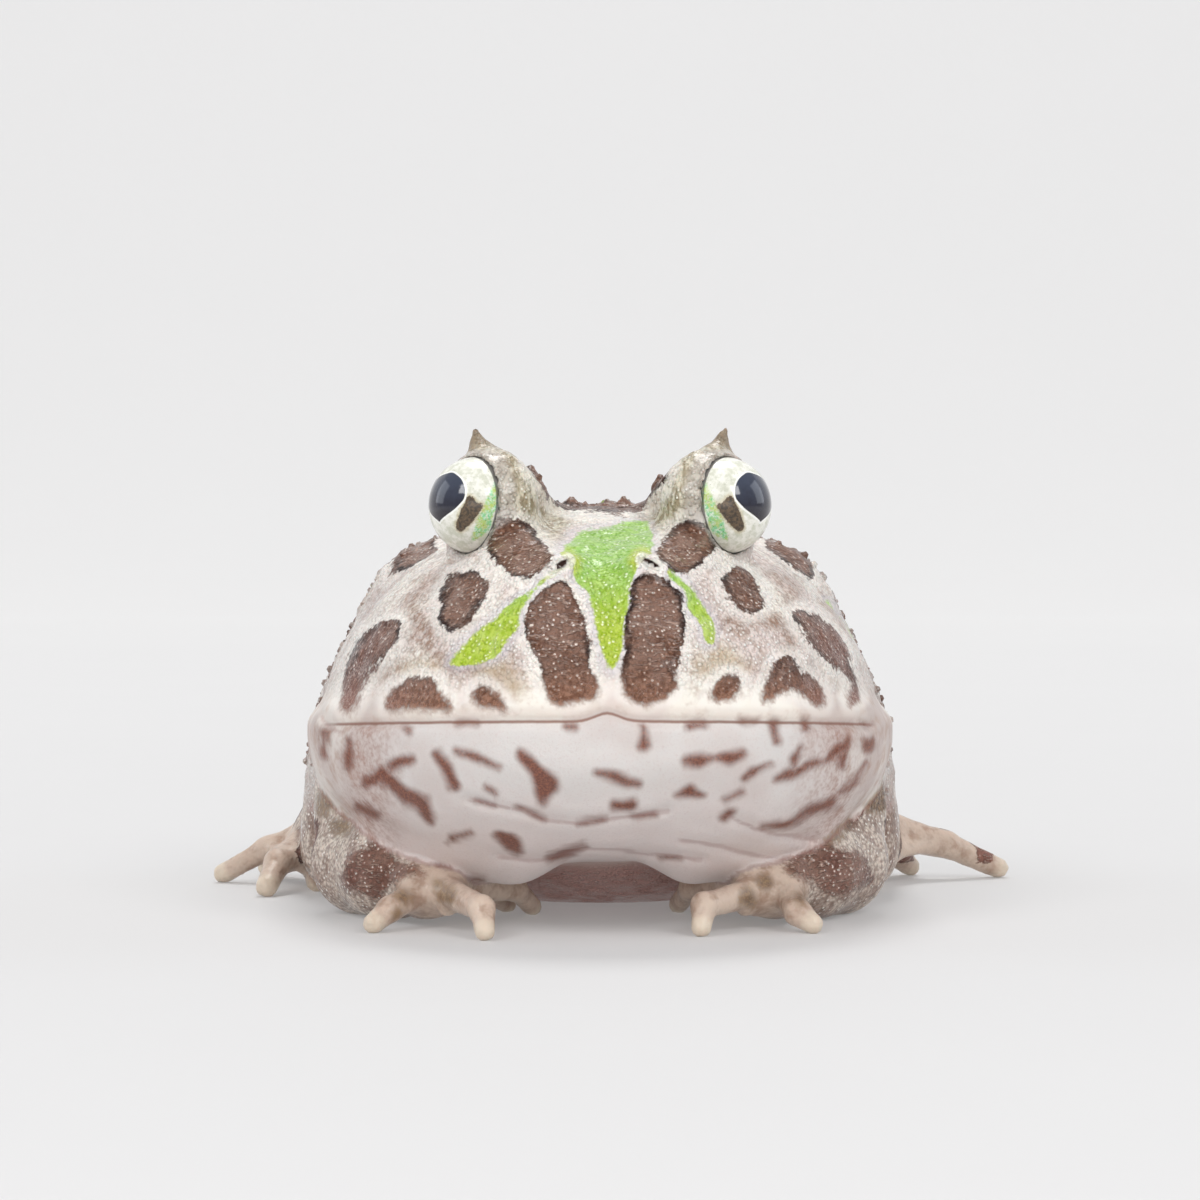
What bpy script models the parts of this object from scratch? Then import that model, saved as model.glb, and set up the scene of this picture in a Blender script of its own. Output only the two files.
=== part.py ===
"""Argentine horned frog, life size, squatting on the floor with its mouth shut.

The frog faces -Y, its crown is +Z, and its own left is +X.
The body is one piece of clay made of soft round forms, cut into named parts by thin gaps.
"""

import math

import bpy
import numpy as np
import openvdb
from mathutils import Vector

# Lengths are in millimetres and are turned into metres once, by MM.
MM = 0.001
GAP = 0.32

# The frame's origin lies on the floor under the middle of the whole animal.
ORIGIN_X = 1.75
ORIGIN_Y = 12.95

# Head: width at the corners of the mouth, snout to nape, floor to crown.
HEAD_HALF_WIDTH = 33.0
HEAD_LENGTH = 43.0
HEAD_RISE = 25.9
HEAD_LEVEL = 22.0
HEAD_BACK = 5.0
JAW_HALF_WIDTH = 34.7
JAW_LENGTH = 42.0
JAW_DROP = 17.0

# Body: half width, half length, and how far it rises and hangs from its level.
BODY_HALF_WIDTH = 35.9
BODY_FRONT_LENGTH = 28.0
BODY_REAR_LENGTH = 42.0
BODY_MIDDLE = 22.0
BODY_LEVEL = 15.0
BODY_RISE = 32.7
BODY_DROP = 15.8

# Mouth: height of its line at the snout and at the corner, and its middle notch.
MOUTH_FRONT = 24.9
MOUTH_CORNER = 22.0
MOUTH_NOTCH = 0.9

# Eyes: half distance, depth, height, radius, and the lids' opening.
EYE_SIDE = 14.0
EYE_DEPTH = -14.0
EYE_LEVEL = 48.2
EYE_RADIUS = 5.6
LID_THICKNESS = 1.5
LID_RIM = 0.95
LID_AXIS = (0.74, -0.55, 0.08)
LID_OPENING = 77.5

# Horns on the upper lids.
HORN_ROOT = (13.1, -10.6, 52.2)
HORN_TIP = (14.3, -10.0, 56.7)

# How far soft tips and elbows press flat on the floor.
PRESS = 0.15

# Nostrils on the snout, and the low ridge from each eye past the nostril to the lip.
NOSTRIL = (4.4, -28.6, 41.2)
SLIT = [(4.0, 0.0, 41.9), (5.8, 0.0, 41.1)]
SLIT_DEPTH = 0.9
SNOUT_RIDGE = [(11.6, -15.6, 42.4, 3.6), (5.4, -26.6, 37.6, 3.2), (6.6, -32.0, 30.0, 3.0)]


# Round forms, each a distance in millimetres that is negative inside.


def blend(a, b, k):
    """Join two forms with a soft seam about k wide."""
    h = np.maximum(k - np.abs(a - b), 0.0) / k
    return np.minimum(a, b) - h * h * k * 0.25


def carve(a, b, k):
    """Keep what is in both forms, with a soft edge about k wide."""
    return -blend(-a, -b, k)


def step(x, a, b):
    """Go softly from 0 at a to 1 at b."""
    t = np.clip((x - a) / (b - a), 0.0, 1.0)
    return t * t * (3.0 - 2.0 * t)


def bump(x, centre, width):
    """A soft hill of height 1."""
    return np.exp(-(((x - centre) / width) ** 2))


def egg(p, centre, across, along, rises, down, side=2.0, front=2.0):
    """A domed form; side and front give how square its outline is seen from there.

    It rises by the first of rises at the snout and by the second at the flanks.
    """
    x = p[0] - centre[0]
    y = p[1] - centre[1]
    z = p[2] - centre[2]
    flat = np.sqrt((x / across) ** 2 + (y / along) ** 2) + 1e-6
    share = (x / across / flat) ** 2
    up = rises[0] * (1.0 - share) + rises[1] * share
    rz = np.where(z > 0, up, down)
    tall = np.abs(z) / rz + 1e-6
    n = side * (1.0 - share) + front * share
    q = (flat**n + tall**n) ** (1.0 / n)
    slope_flat = (flat / q) ** (n - 1.0)
    slope_tall = (tall / q) ** (n - 1.0)
    run = np.sqrt((x / across**2) ** 2 + (y / along**2) ** 2) / flat
    slope = np.sqrt((slope_flat * run) ** 2 + (slope_tall / rz) ** 2)
    return (q - 1.0) / np.maximum(slope, 0.004)


def ball(p, centre, radius):
    """A ball."""
    x = p[0] - centre[0]
    y = p[1] - centre[1]
    z = p[2] - centre[2]
    return np.sqrt(x * x + y * y + z * z) - radius


def taper(p, a, b, ra, rb):
    """A rod with round ends that goes from radius ra at a to rb at b."""
    d = [b[i] - a[i] for i in range(3)]
    v = [p[i] - a[i] for i in range(3)]
    t = (v[0] * d[0] + v[1] * d[1] + v[2] * d[2]) / (d[0] ** 2 + d[1] ** 2 + d[2] ** 2)
    t = np.clip(t, 0.0, 1.0)
    far = sum((v[i] - t * d[i]) ** 2 for i in range(3))
    return np.sqrt(far) - (ra + t * (rb - ra))


def limb(p, stations, k):
    """Rods through the stations (x, y, z, radius), softly joined."""
    out = None
    for a, b in zip(stations[:-1], stations[1:]):
        rod = taper(p, a, b, a[3], b[3])
        out = rod if out is None else blend(out, rod, k)
    return out


def mirrored(p, side):
    """The same places seen from the other side of the body."""
    return (p[0] * side, p[1], p[2])


# Limbs, given for the +X side: stations of x, y, z and radius.

UPPER_ARM = [(28.4, 10.5, 16.8, 5.4), (28.2, 5.6, 11.5, 5.4), (27.8, 1.6, 6.6, 6.0)]
FOREARM = [(27.8, 1.2, 5.9, 6.1), (24.2, -5.8, 6.0, 5.6), (20.3, -11.2, 4.9, 3.6)]
THIGH = [(17.0, 51.0, 13.0, 9.0), (25.0, 37.0, 13.0, 8.6), (29.0, 22.0, 11.5, 6.8)]
SHANK = [(30.2, 20.5, 6.4, 6.6), (31.7, 34.0, 7.8, 5.6), (30.8, 49.0, 5.6, 3.8)]

PALM = [(20.0, -12.0, 4.5, 3.1), (17.6, -14.6, 4.1, 2.7)]
HANDS = {
    -1: {
        "fourth": [(20.6, -15.2, 4.1, 1.75), (23.8, -18.6, 2.5, 1.35), (25.6, -20.3, 1.15, 1.2)],
        "third": [(17.2, -16.6, 4.2, 1.75), (13.2, -25.8, 3.3, 1.4), (12.8, -28.0, 1.2, 1.15)],
        "second": [(16.2, -12.0, 4.2, 1.7), (9.8, -4.8, 3.4, 1.25), (8.0, -0.6, 1.15, 1.15)],
        "first": [(18.2, -10.0, 3.8, 1.6), (13.6, -2.0, 3.0, 1.25), (11.0, 2.6, 1.1, 1.1)],
        "pad": (17.4, -17.4, 2.5, 0.95),
    },
    1: {
        "fourth": [(21.2, -14.8, 4.1, 1.75), (22.3, -19.6, 2.3, 1.45), (24.0, -20.8, 1.15, 1.2)],
        "third": [(17.8, -15.8, 4.2, 1.75), (11.7, -22.4, 3.3, 1.4), (11.35, -24.0, 1.2, 1.15)],
        "second": [(16.4, -11.4, 4.2, 1.7), (10.6, -3.0, 3.4, 1.25), (9.3, 1.9, 1.15, 1.15)],
        "first": [(18.4, -9.6, 3.8, 1.6), (14.4, -0.6, 3.0, 1.25), (12.2, 4.4, 1.1, 1.1)],
        "pad": (16.5, -16.9, 2.5, 0.95),
    },
}
FEET = {
    -1: {
        "sole": [(32.4, 46.5, 5.4, 3.2), (35.2, 37.0, 5.2, 3.2)],
        "fifth": [(36.0, 39.6, 4.8, 1.9), (40.4, 45.0, 3.0, 1.5), (43.2, 48.6, 1.2, 1.2)],
        "fourth": [(36.4, 37.4, 6.2, 2.1), (42.6, 38.2, 4.2, 1.4), (48.0, 39.0, 1.3, 1.25)],
        "third": [(36.4, 34.8, 5.6, 2.2), (40.0, 25.2, 3.8, 1.6), (41.0, 20.8, 1.4, 1.35)],
        "second": [(34.8, 34.2, 4.6, 1.9), (35.6, 30.6, 3.0, 1.5), (35.4, 27.6, 1.2, 1.2)],
        "first": [(33.0, 35.6, 3.8, 1.7), (31.6, 32.8, 2.4, 1.3), (30.8, 30.6, 1.1, 1.1)],
    },
    1: {
        "sole": [(31.4, 50.5, 5.4, 3.2), (35.4, 41.0, 5.2, 3.2)],
        "fifth": [(36.0, 43.4, 4.6, 2.0), (38.4, 46.6, 3.0, 1.6), (40.2, 48.6, 1.3, 1.3)],
        "fourth": [(37.0, 41.0, 6.4, 2.3), (44.6, 43.4, 4.4, 1.6), (51.4, 45.8, 1.5, 1.35)],
        "third": [(35.6, 38.2, 5.0, 2.1), (35.0, 32.4, 3.4, 1.6), (33.4, 28.8, 1.3, 1.3)],
        "second": [(34.2, 38.0, 4.4, 1.9), (33.2, 33.0, 2.8, 1.4), (32.2, 30.4, 1.2, 1.2)],
        "first": [(32.4, 39.4, 3.8, 1.7), (30.4, 36.4, 2.4, 1.3), (29.4, 34.4, 1.1, 1.1)],
    },
}
TOES = ("fifth", "fourth", "third", "second", "first")


def along(stations, share):
    """The place and radius a share of the way along a limb's stations."""
    at = share * (len(stations) - 1)
    i = min(int(at), len(stations) - 2)
    t = at - i
    return tuple(stations[i][n] * (1 - t) + stations[i + 1][n] * t for n in range(4))


def grounded(stations):
    """A finger or toe whose last station rests on the floor, pressed flat a little."""
    x, y, _, radius = stations[-1]
    return stations[:-1] + [(x, y, radius - PRESS, radius)]


def hand(p, parts):
    """Palm, four fingers and the pad under the palm."""
    out = limb(p, PALM, 1.5)
    for name in TOES[1:]:
        out = blend(out, limb(p, grounded(parts[name]), 0.8), 1.6)
    return blend(out, ball(p, parts["pad"], parts["pad"][3]), 0.8)


def foot(p, parts):
    """Sole, five toes and the webs between the toes' roots."""
    out = limb(p, parts["sole"], 1.5)
    for name in TOES:
        out = blend(out, limb(p, grounded(parts[name]), 0.8), 1.6)
    for a, b in zip(TOES[:-1], TOES[1:]):
        for share in (0.22, 0.42):
            ends = [along(parts[n], share) for n in (a, b)]
            out = blend(out, taper(p, ends[0], ends[1], 0.75, 0.75), 1.6)
    return out


def mouth_height(x, y):
    """Height of the closed mouth's line."""
    run = np.clip((y + 38.0) / 41.0, 0.0, 1.5)
    return MOUTH_FRONT - (MOUTH_FRONT - MOUTH_CORNER) * run + MOUTH_NOTCH * bump(x, 0.8, 1.9)


def lid_opening(p):
    """Distance outside the cone in which the left eye's lids are open."""
    v = [p[0] - EYE_SIDE, p[1] - EYE_DEPTH, p[2] - EYE_LEVEL]
    size = math.sqrt(sum(c * c for c in LID_AXIS))
    ahead = sum(v[i] * LID_AXIS[i] for i in range(3)) / size
    far = np.sqrt(v[0] ** 2 + v[1] ** 2 + v[2] ** 2)
    aside = np.sqrt(np.maximum(far**2 - ahead**2, 0.0))
    angle = math.radians(LID_OPENING)
    return aside * math.cos(angle) - ahead * math.sin(angle)


def skull(p):
    """Upper head with snout ridges, lids and horns, the eyes' sockets not yet cut."""
    x, y, z = p
    out = egg(
        p,
        (0.0, HEAD_BACK, HEAD_LEVEL),
        HEAD_HALF_WIDTH,
        HEAD_LENGTH,
        (HEAD_RISE, HEAD_RISE),
        11.0,
        2.4,
        1.95,
    )
    ax = np.abs(x)
    q = (ax, y, z)
    out = blend(out, limb(q, SNOUT_RIDGE, 4.0), 5.0)
    out = blend(out, ball(q, NOSTRIL, 1.6), 1.6)
    thick = LID_RIM + (LID_THICKNESS - LID_RIM) * step(lid_opening(q), 0.3, 4.0)
    lids = ball(q, (EYE_SIDE, EYE_DEPTH, EYE_LEVEL), EYE_RADIUS) - thick
    lids = blend(lids, taper(q, (12.2, -10.2, 50.2), (10.0, -6.6, 49.2), 3.3, 3.3), 2.0)
    lids = blend(lids, taper(q, HORN_ROOT, HORN_TIP, 2.7, 0.4), 1.6)
    return blend(out, carve(lids, -lid_opening(q), 0.5), 2.2)


def jaw(p):
    """Lower jaw and throat, two soft lobes with a raised middle."""
    x, y, z = p
    out = egg(
        p,
        (0.0, HEAD_BACK, HEAD_LEVEL),
        JAW_HALF_WIDTH,
        JAW_LENGTH,
        (24.0, 6.5),
        JAW_DROP,
        2.3,
        2.3,
    )
    lobe = taper((np.abs(x), y, z), (10.5, -14.0, 11.4), (20.5, -7.0, 11.8), 6.2, 6.0)
    out = blend(out, lobe, 4.0)
    hollow = np.exp(-(((x - 0.8) / 7.2) ** 4))
    return out + 1.5 * hollow * (1.0 - step(z, 8.0, 15.0))


def trunk(p):
    """Round body, low at the chest and rump."""
    centre = (0.0, BODY_MIDDLE, BODY_LEVEL)
    rises = (BODY_RISE, BODY_RISE)
    length = np.where(p[1] > BODY_MIDDLE, BODY_REAR_LENGTH, BODY_FRONT_LENGTH)
    out = egg(p, centre, BODY_HALF_WIDTH, length, rises, BODY_DROP)
    q = (np.abs(p[0]), p[1], p[2])
    shoulder = taper(q, (19.6, 9.0, 35.6), (20.0, 24.0, 35.2), 7.8, 7.2)
    return blend(out, shoulder, 5.0)


def face_cuts(p):
    """Furrow of the lips and the nostrils' slits, added to the body's distance."""
    x, y, z = p
    lip = z - mouth_height(x, y)
    front = 1.0 - step(y, 2.0, 7.0)
    furrow = 0.6 * bump(lip, 0.0, 0.9) * front
    rim = 0.25 * bump(lip, 2.1, 1.4) * front
    slit = taper((np.abs(x), 0.0 * y, z), SLIT[0], SLIT[1], 0.0, 0.0)
    nose = 1.0 - step(y, -25.0, -21.0)
    nostrils = (SLIT_DEPTH * bump(slit, 0.0, 0.8) - 0.3 * bump(slit, 1.7, 0.7)) * nose
    return furrow - rim + nostrils


LIMBS = []
for SIDE, WORD in ((1, "left"), (-1, "right")):
    LIMBS += [
        ("upper_arm_" + WORD, SIDE, UPPER_ARM),
        ("forearm_" + WORD, SIDE, FOREARM),
        ("hand_" + WORD, SIDE, HANDS[SIDE]),
        ("thigh_" + WORD, SIDE, THIGH),
        ("shank_" + WORD, SIDE, SHANK),
        ("foot_" + WORD, SIDE, FEET[SIDE]),
    ]


def limb_form(p, name, side, shape):
    """One limb part's own form."""
    q = mirrored(p, side)
    if name.startswith("hand"):
        return hand(q, shape)
    if name.startswith("foot"):
        return foot(q, shape)
    return limb(q, shape, 2.0)


def reach(name, side, shape):
    """The box that holds a limb part."""
    if isinstance(shape, dict):
        rows = [s for v in shape.values() for s in (v if isinstance(v, list) else [v])]
        rows += PALM if name.startswith("hand") else []
    else:
        rows = shape
    rows = np.array(rows)
    low = (rows[:, :3] - rows[:, 3:]).min(0)
    high = (rows[:, :3] + rows[:, 3:]).max(0)
    if side < 0:
        low[0], high[0] = -high[0], -low[0]
    return low, high


def body(p):
    """The whole frog's distance, and each part's claim on a place."""
    low = np.array([p[i].min() for i in range(3)])
    high = np.array([p[i].max() for i in range(3)])
    head = skull(p)
    throat = jaw(p)
    torso = trunk(p)
    core = blend(blend(head, torso, 3.5), throat, 1.5)
    whole = core
    claims = {}
    for name, side, shape in LIMBS:
        a, b = reach(name, side, shape)
        if (a > high + 7.0).any() or (b < low - 7.0).any():
            continue
        claims[name] = limb_form(p, name, side, shape)
        soft = 1.2 if name.startswith(("hand", "forearm")) else 3.0
        whole = blend(whole, claims[name], soft)
    for side in (1, -1):
        chain = [claims.get(n + ("left" if side > 0 else "right")) for n in ("forearm_", "hand_")]
        if all(c is not None for c in chain):
            whole = np.minimum(whole, blend(chain[0], chain[1], 3.0))
    whole = whole + face_cuts(p)
    claims["core"] = core
    return whole, claims


def neck(p):
    """Distance behind the surface where head and jaw end and the body starts."""
    x, y, z = p
    back = 12.0 - 4.0 * (x / HEAD_HALF_WIDTH) ** 2 - 0.78 * np.maximum(HEAD_LEVEL - z, 0.0)
    return (y - back) * 0.93


def horn_cut(p):
    """Distance above the flat cut at the root of a horn."""
    ax = np.abs(p[0])
    return (ax - 13.6) * 0.23 + (p[1] + 10.4) * 0.13 + (p[2] - 54.6) * 0.965


def part_faces(p, name):
    """Distances of the faces that bound one named part."""
    whole, claims = body(p)
    own = name if name in claims else "core"
    others = [v for k, v in claims.items() if k != own]
    x, y, z = p
    lip = (z - mouth_height(x, y)) * 0.99
    behind = neck(p)
    half = GAP / 2
    faces = [-z]
    if others:
        rest = others[0]
        for other in others[1:]:
            rest = np.minimum(rest, other)
        faces.append((claims[own] - rest) * 0.5 + half)
    if name == "torso":
        faces.append(half - behind)
    if name in ("head", "horn_left", "horn_right"):
        faces.append(behind + half)
        faces.append(half - lip)
        for side in (1, -1):
            eye = ball(mirrored(p, side), (EYE_SIDE, EYE_DEPTH, EYE_LEVEL), EYE_RADIUS)
            faces.append(GAP - eye)
        nose = taper((np.abs(x), y, z), SLIT[0], SLIT[1], 0.6, 0.5)
        whole = carve(whole, -nose, 0.4)
    if name == "head":
        faces.append(horn_cut(p) + half)
    if name.startswith("horn"):
        faces.append(half - horn_cut(p))
        side = 1 if name.endswith("left") else -1
        faces.append(4.0 - side * x)
    if name == "lower_jaw":
        faces.append(behind + half)
        faces.append(lip + half)
    return [whole] + faces


def settle(points, name, grain):
    """Slide surface points onto the two or three faces they lie near, for crisp cut edges."""
    nudge = 0.02
    for _ in range(3):
        here = np.array(part_faces(tuple(points.T), name))
        slope = []
        for axis in range(3):
            moved = points.copy()
            moved[:, axis] += nudge
            slope.append((np.array(part_faces(tuple(moved.T), name)) - here) / nudge)
        slope = np.array(slope)
        order = np.argsort(-here, axis=0)[:3]
        value = np.take_along_axis(here, order, 0)
        lines = np.take_along_axis(slope, order[None], 1).transpose(2, 1, 0)
        near = value > -0.6 * grain
        near[0] = True
        value = np.where(near, value, 0.0).T
        lines = np.where(near.T[:, :, None], lines, 0.0)
        move = -np.einsum("nij,nj->ni", np.linalg.pinv(lines, rcond=0.15), value)
        size = np.linalg.norm(move, axis=1, keepdims=True)
        points = points + move * np.minimum(1.0, 0.7 * grain / np.maximum(size, 1e-9))
    return points


# Meshes


def largest(quads, count):
    """Which corners belong to the largest closed surface."""
    label = np.arange(count)
    while True:
        low = label[quads].min(1)
        new = label.copy()
        np.minimum.at(new, quads, low[:, None])
        new = new[new]
        if (new == label).all():
            break
        label = new
    return label == np.bincount(label).argmax()


def solid(name, low, high, grain, count, skin, group):
    """Model one part from its distance, then thin its faces to about count triangles."""
    low = np.array(low, float)
    size = np.ceil((np.array(high, float) - low) / grain).astype(int) + 1
    rows = [low[i] + grain * np.arange(size[i]) for i in range(3)]
    grid = np.meshgrid(*rows, indexing="ij")
    field = np.max(part_faces(tuple(grid), name), axis=0)
    block = openvdb.FloatGrid(3.0)
    block.copyFromArray(np.clip(field / grain, -3.0, 3.0).astype(np.float32))
    points, quads = block.convertToQuads(isovalue=0.0)
    quads = quads.astype(np.int64)
    keep = largest(quads, len(points))
    quads = quads[keep[quads[:, 0]]]
    used = np.flatnonzero(keep)
    index = np.full(len(points), -1)
    index[used] = np.arange(len(used))
    points = settle(low + points[used] * grain, name, grain)
    points = (points - (ORIGIN_X, ORIGIN_Y, 0.0)) * MM
    middle = (points.min(0) + points.max(0)) / 2
    mesh = bpy.data.meshes.new(name)
    mesh.from_pydata((points - middle).tolist(), [], index[quads].tolist())
    piece = bpy.data.objects.new(name, mesh)
    piece.location = Vector(middle)
    group.objects.link(piece)
    thin = piece.modifiers.new("Thin", "DECIMATE")
    thin.ratio = min(1.0, count / (2.0 * len(quads)))
    bpy.context.view_layer.update()
    graph = bpy.context.evaluated_depsgraph_get()
    done = bpy.data.meshes.new_from_object(piece.evaluated_get(graph))
    piece.modifiers.clear()
    piece.data = done
    done.name = name
    for corner in done.vertices:
        corner.co.z = max(corner.co.z, -middle[2])
    done.materials.clear()
    done.materials.append(skin)
    done.shade_smooth()
    bpy.data.meshes.remove(mesh)
    return piece


def eyeball(name, side, skin, group):
    """A smooth eye, its pole turned to where it looks."""
    bpy.ops.mesh.primitive_uv_sphere_add(segments=24, ring_count=14, radius=EYE_RADIUS * MM)
    piece = bpy.context.object
    piece.name = name
    piece.data.name = name
    piece.location = (
        (side * EYE_SIDE - ORIGIN_X) * MM,
        (EYE_DEPTH - ORIGIN_Y) * MM,
        EYE_LEVEL * MM,
    )
    look = Vector((0.72 * side, -0.65, 0.24))
    piece.rotation_euler = look.to_track_quat("Z", "Y").to_euler()
    piece.data.materials.append(skin)
    piece.data.shade_smooth()
    for home in list(piece.users_collection):
        home.objects.unlink(piece)
    group.objects.link(piece)
    return piece


def finish_material(name, colour, roughness):
    """A plain surface for one part of the body."""
    out = bpy.data.materials.new(name)
    out.use_nodes = True
    shader = out.node_tree.nodes["Principled BSDF"]
    shader.inputs["Base Color"].default_value = (*colour, 1.0)
    shader.inputs["Roughness"].default_value = roughness
    shader.inputs["Metallic"].default_value = 0.0
    out.diffuse_color = (*colour, 1.0)
    return out


def build():
    """Make every part of the frog."""
    for old in list(bpy.data.objects):
        bpy.data.objects.remove(old)
    group = bpy.data.collections.new("horned_frog")
    bpy.context.scene.collection.children.link(group)
    back = finish_material("back_skin", (0.62, 0.55, 0.52), 0.35)
    throat = finish_material("throat_skin", (0.86, 0.81, 0.80), 0.35)
    limbs = finish_material("limb_skin", (0.74, 0.68, 0.60), 0.38)
    tips = finish_material("horn_skin", (0.50, 0.42, 0.32), 0.45)
    glass = finish_material("eye_surface", (0.18, 0.20, 0.17), 0.05)
    solid("head", (-36, -41, 20), (36, 15, 57), 0.6, 3000, back, group)
    solid("lower_jaw", (-37, -40, 0), (37, 13, 27), 0.7, 1500, throat, group)
    solid("torso", (-39, -12, -2), (39, 67, 51), 0.8, 2000, back, group)
    for side, word in ((1, "left"), (-1, "right")):
        low = 6.0 if side > 0 else -19.0
        solid("horn_" + word, (low, -16, 52), (low + 13.0, -5, 59), 0.35, 150, tips, group)
        eyeball("eye_" + word, side, glass, group)
    for name, side, shape in LIMBS:
        low, high = reach(name, side, shape)
        fine = isinstance(shape, dict)
        count = {"hand": 800, "foot": 950}.get(name.split("_")[0], 300)
        solid(name, low - 3.0, high + 3.0, 0.42 if fine else 0.7, count, limbs, group)


build()
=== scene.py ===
import math

import bpy
import numpy as np
import openvdb
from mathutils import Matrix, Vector, noise


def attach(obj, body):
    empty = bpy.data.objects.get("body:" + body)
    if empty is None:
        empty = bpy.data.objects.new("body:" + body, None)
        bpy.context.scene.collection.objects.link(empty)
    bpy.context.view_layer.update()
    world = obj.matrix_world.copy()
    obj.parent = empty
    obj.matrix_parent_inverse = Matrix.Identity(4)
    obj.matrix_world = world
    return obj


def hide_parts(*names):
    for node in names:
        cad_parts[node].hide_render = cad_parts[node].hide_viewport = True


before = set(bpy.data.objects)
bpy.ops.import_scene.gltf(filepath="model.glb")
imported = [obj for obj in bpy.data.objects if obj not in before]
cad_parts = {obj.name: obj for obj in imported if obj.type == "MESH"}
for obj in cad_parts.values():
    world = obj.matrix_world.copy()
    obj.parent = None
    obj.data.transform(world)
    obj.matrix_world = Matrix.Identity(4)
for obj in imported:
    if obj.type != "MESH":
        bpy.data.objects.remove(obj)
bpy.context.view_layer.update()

# All soft noise comes from this seed, so that every run gives the same frog.
SEED = 7
noise.seed_set(SEED)

# Lengths are in millimetres in the animal's own frame and are turned into metres once, by MM.
MM = 0.001
ORIGIN_X = 1.75
ORIGIN_Y = 12.95

# The viewpoint: this far in front of the plane y = 0, and this high above the floor.
VIEW_FAR = 480.0
VIEW_HIGH = 50.0
VIEW_DOWN = 1.544
LENS = 122.4
SENSOR_WIDTH = 36.0

HEAD_HALF_WIDTH = 33.0
HEAD_LENGTH = 43.0
HEAD_RISE = 25.9
HEAD_LEVEL = 22.0
HEAD_BACK = 5.0
JAW_HALF_WIDTH = 34.7
JAW_LENGTH = 42.0
JAW_DROP = 17.0
BODY_HALF_WIDTH = 35.9
BODY_FRONT_LENGTH = 28.0
BODY_REAR_LENGTH = 42.0
BODY_MIDDLE = 22.0
BODY_LEVEL = 15.0
BODY_RISE = 32.7
BODY_DROP = 15.8
MOUTH_FRONT = 24.9
MOUTH_CORNER = 22.0
MOUTH_NOTCH = 0.9
EYE_SIDE = 14.0
EYE_DEPTH = -14.0
EYE_LEVEL = 48.2
EYE_RADIUS = 5.6
LID_THICKNESS = 1.5
LID_RIM = 0.5
LID_AXIS = (0.74, -0.55, 0.08)
LID_OPENING = 77.5
HORN_ROOT = (13.1, -10.6, 52.2)
HORN_TIP = (14.3, -10.0, 56.7)
PRESS = 0.15
NOSTRIL = (4.4, -28.6, 41.2)
SLITS = [[(-5.8, 40.4, 0.18), (-4.7, 41.05, 0.32), (-3.9, 41.5, 0.18)],
         [(5.0, 41.7, 0.18), (5.9, 41.3, 0.32), (6.8, 40.8, 0.18)]]
SNOUT_RIDGE = [(11.6, -15.6, 42.4, 3.6), (5.4, -26.6, 37.6, 3.2), (6.6, -32.0, 30.0, 3.0)]

UPPER_ARM = [(28.4, 10.5, 16.8, 5.4), (28.2, 5.6, 11.5, 5.4), (27.8, 1.6, 6.6, 6.0)]
FOREARM = [(27.8, 1.2, 5.9, 6.1), (24.2, -5.8, 6.0, 5.6), (20.3, -11.2, 4.9, 3.6)]
THIGH = [(17.0, 51.0, 13.0, 9.0), (25.0, 37.0, 13.0, 8.6), (29.0, 22.0, 11.5, 6.8)]
SHANK = [(30.2, 20.5, 6.4, 6.6), (31.7, 34.0, 7.8, 5.6), (30.8, 49.0, 5.6, 3.8)]
PALM = [(20.0, -12.0, 4.5, 3.1), (17.6, -14.6, 4.1, 2.7)]
HANDS = {
    -1: {
        "fourth": [(20.6, -15.2, 4.1, 1.75), (23.8, -18.6, 2.5, 1.35), (25.6, -20.3, 1.15, 1.2)],
        "third": [(17.2, -16.6, 4.2, 1.75), (13.2, -25.8, 3.3, 1.4), (12.8, -28.0, 1.2, 1.15)],
        "second": [(16.2, -12.0, 4.2, 1.7), (9.8, -4.8, 3.4, 1.25), (8.0, -0.6, 1.15, 1.15)],
        "first": [(18.2, -10.0, 3.8, 1.6), (13.6, -2.0, 3.0, 1.25), (11.0, 2.6, 1.1, 1.1)],
        "pad": (17.4, -17.4, 2.5, 0.95),
    },
    1: {
        "fourth": [(21.2, -14.8, 4.1, 1.75), (22.3, -19.6, 2.3, 1.45), (24.0, -20.8, 1.15, 1.2)],
        "third": [(17.8, -15.8, 4.2, 1.75), (11.7, -22.4, 3.3, 1.4), (11.35, -24.0, 1.2, 1.15)],
        "second": [(16.4, -11.4, 4.2, 1.7), (10.6, -3.0, 3.4, 1.25), (9.3, 1.9, 1.15, 1.15)],
        "first": [(18.4, -9.6, 3.8, 1.6), (14.4, -0.6, 3.0, 1.25), (12.2, 4.4, 1.1, 1.1)],
        "pad": (16.5, -16.9, 2.5, 0.95),
    },
}
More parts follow.
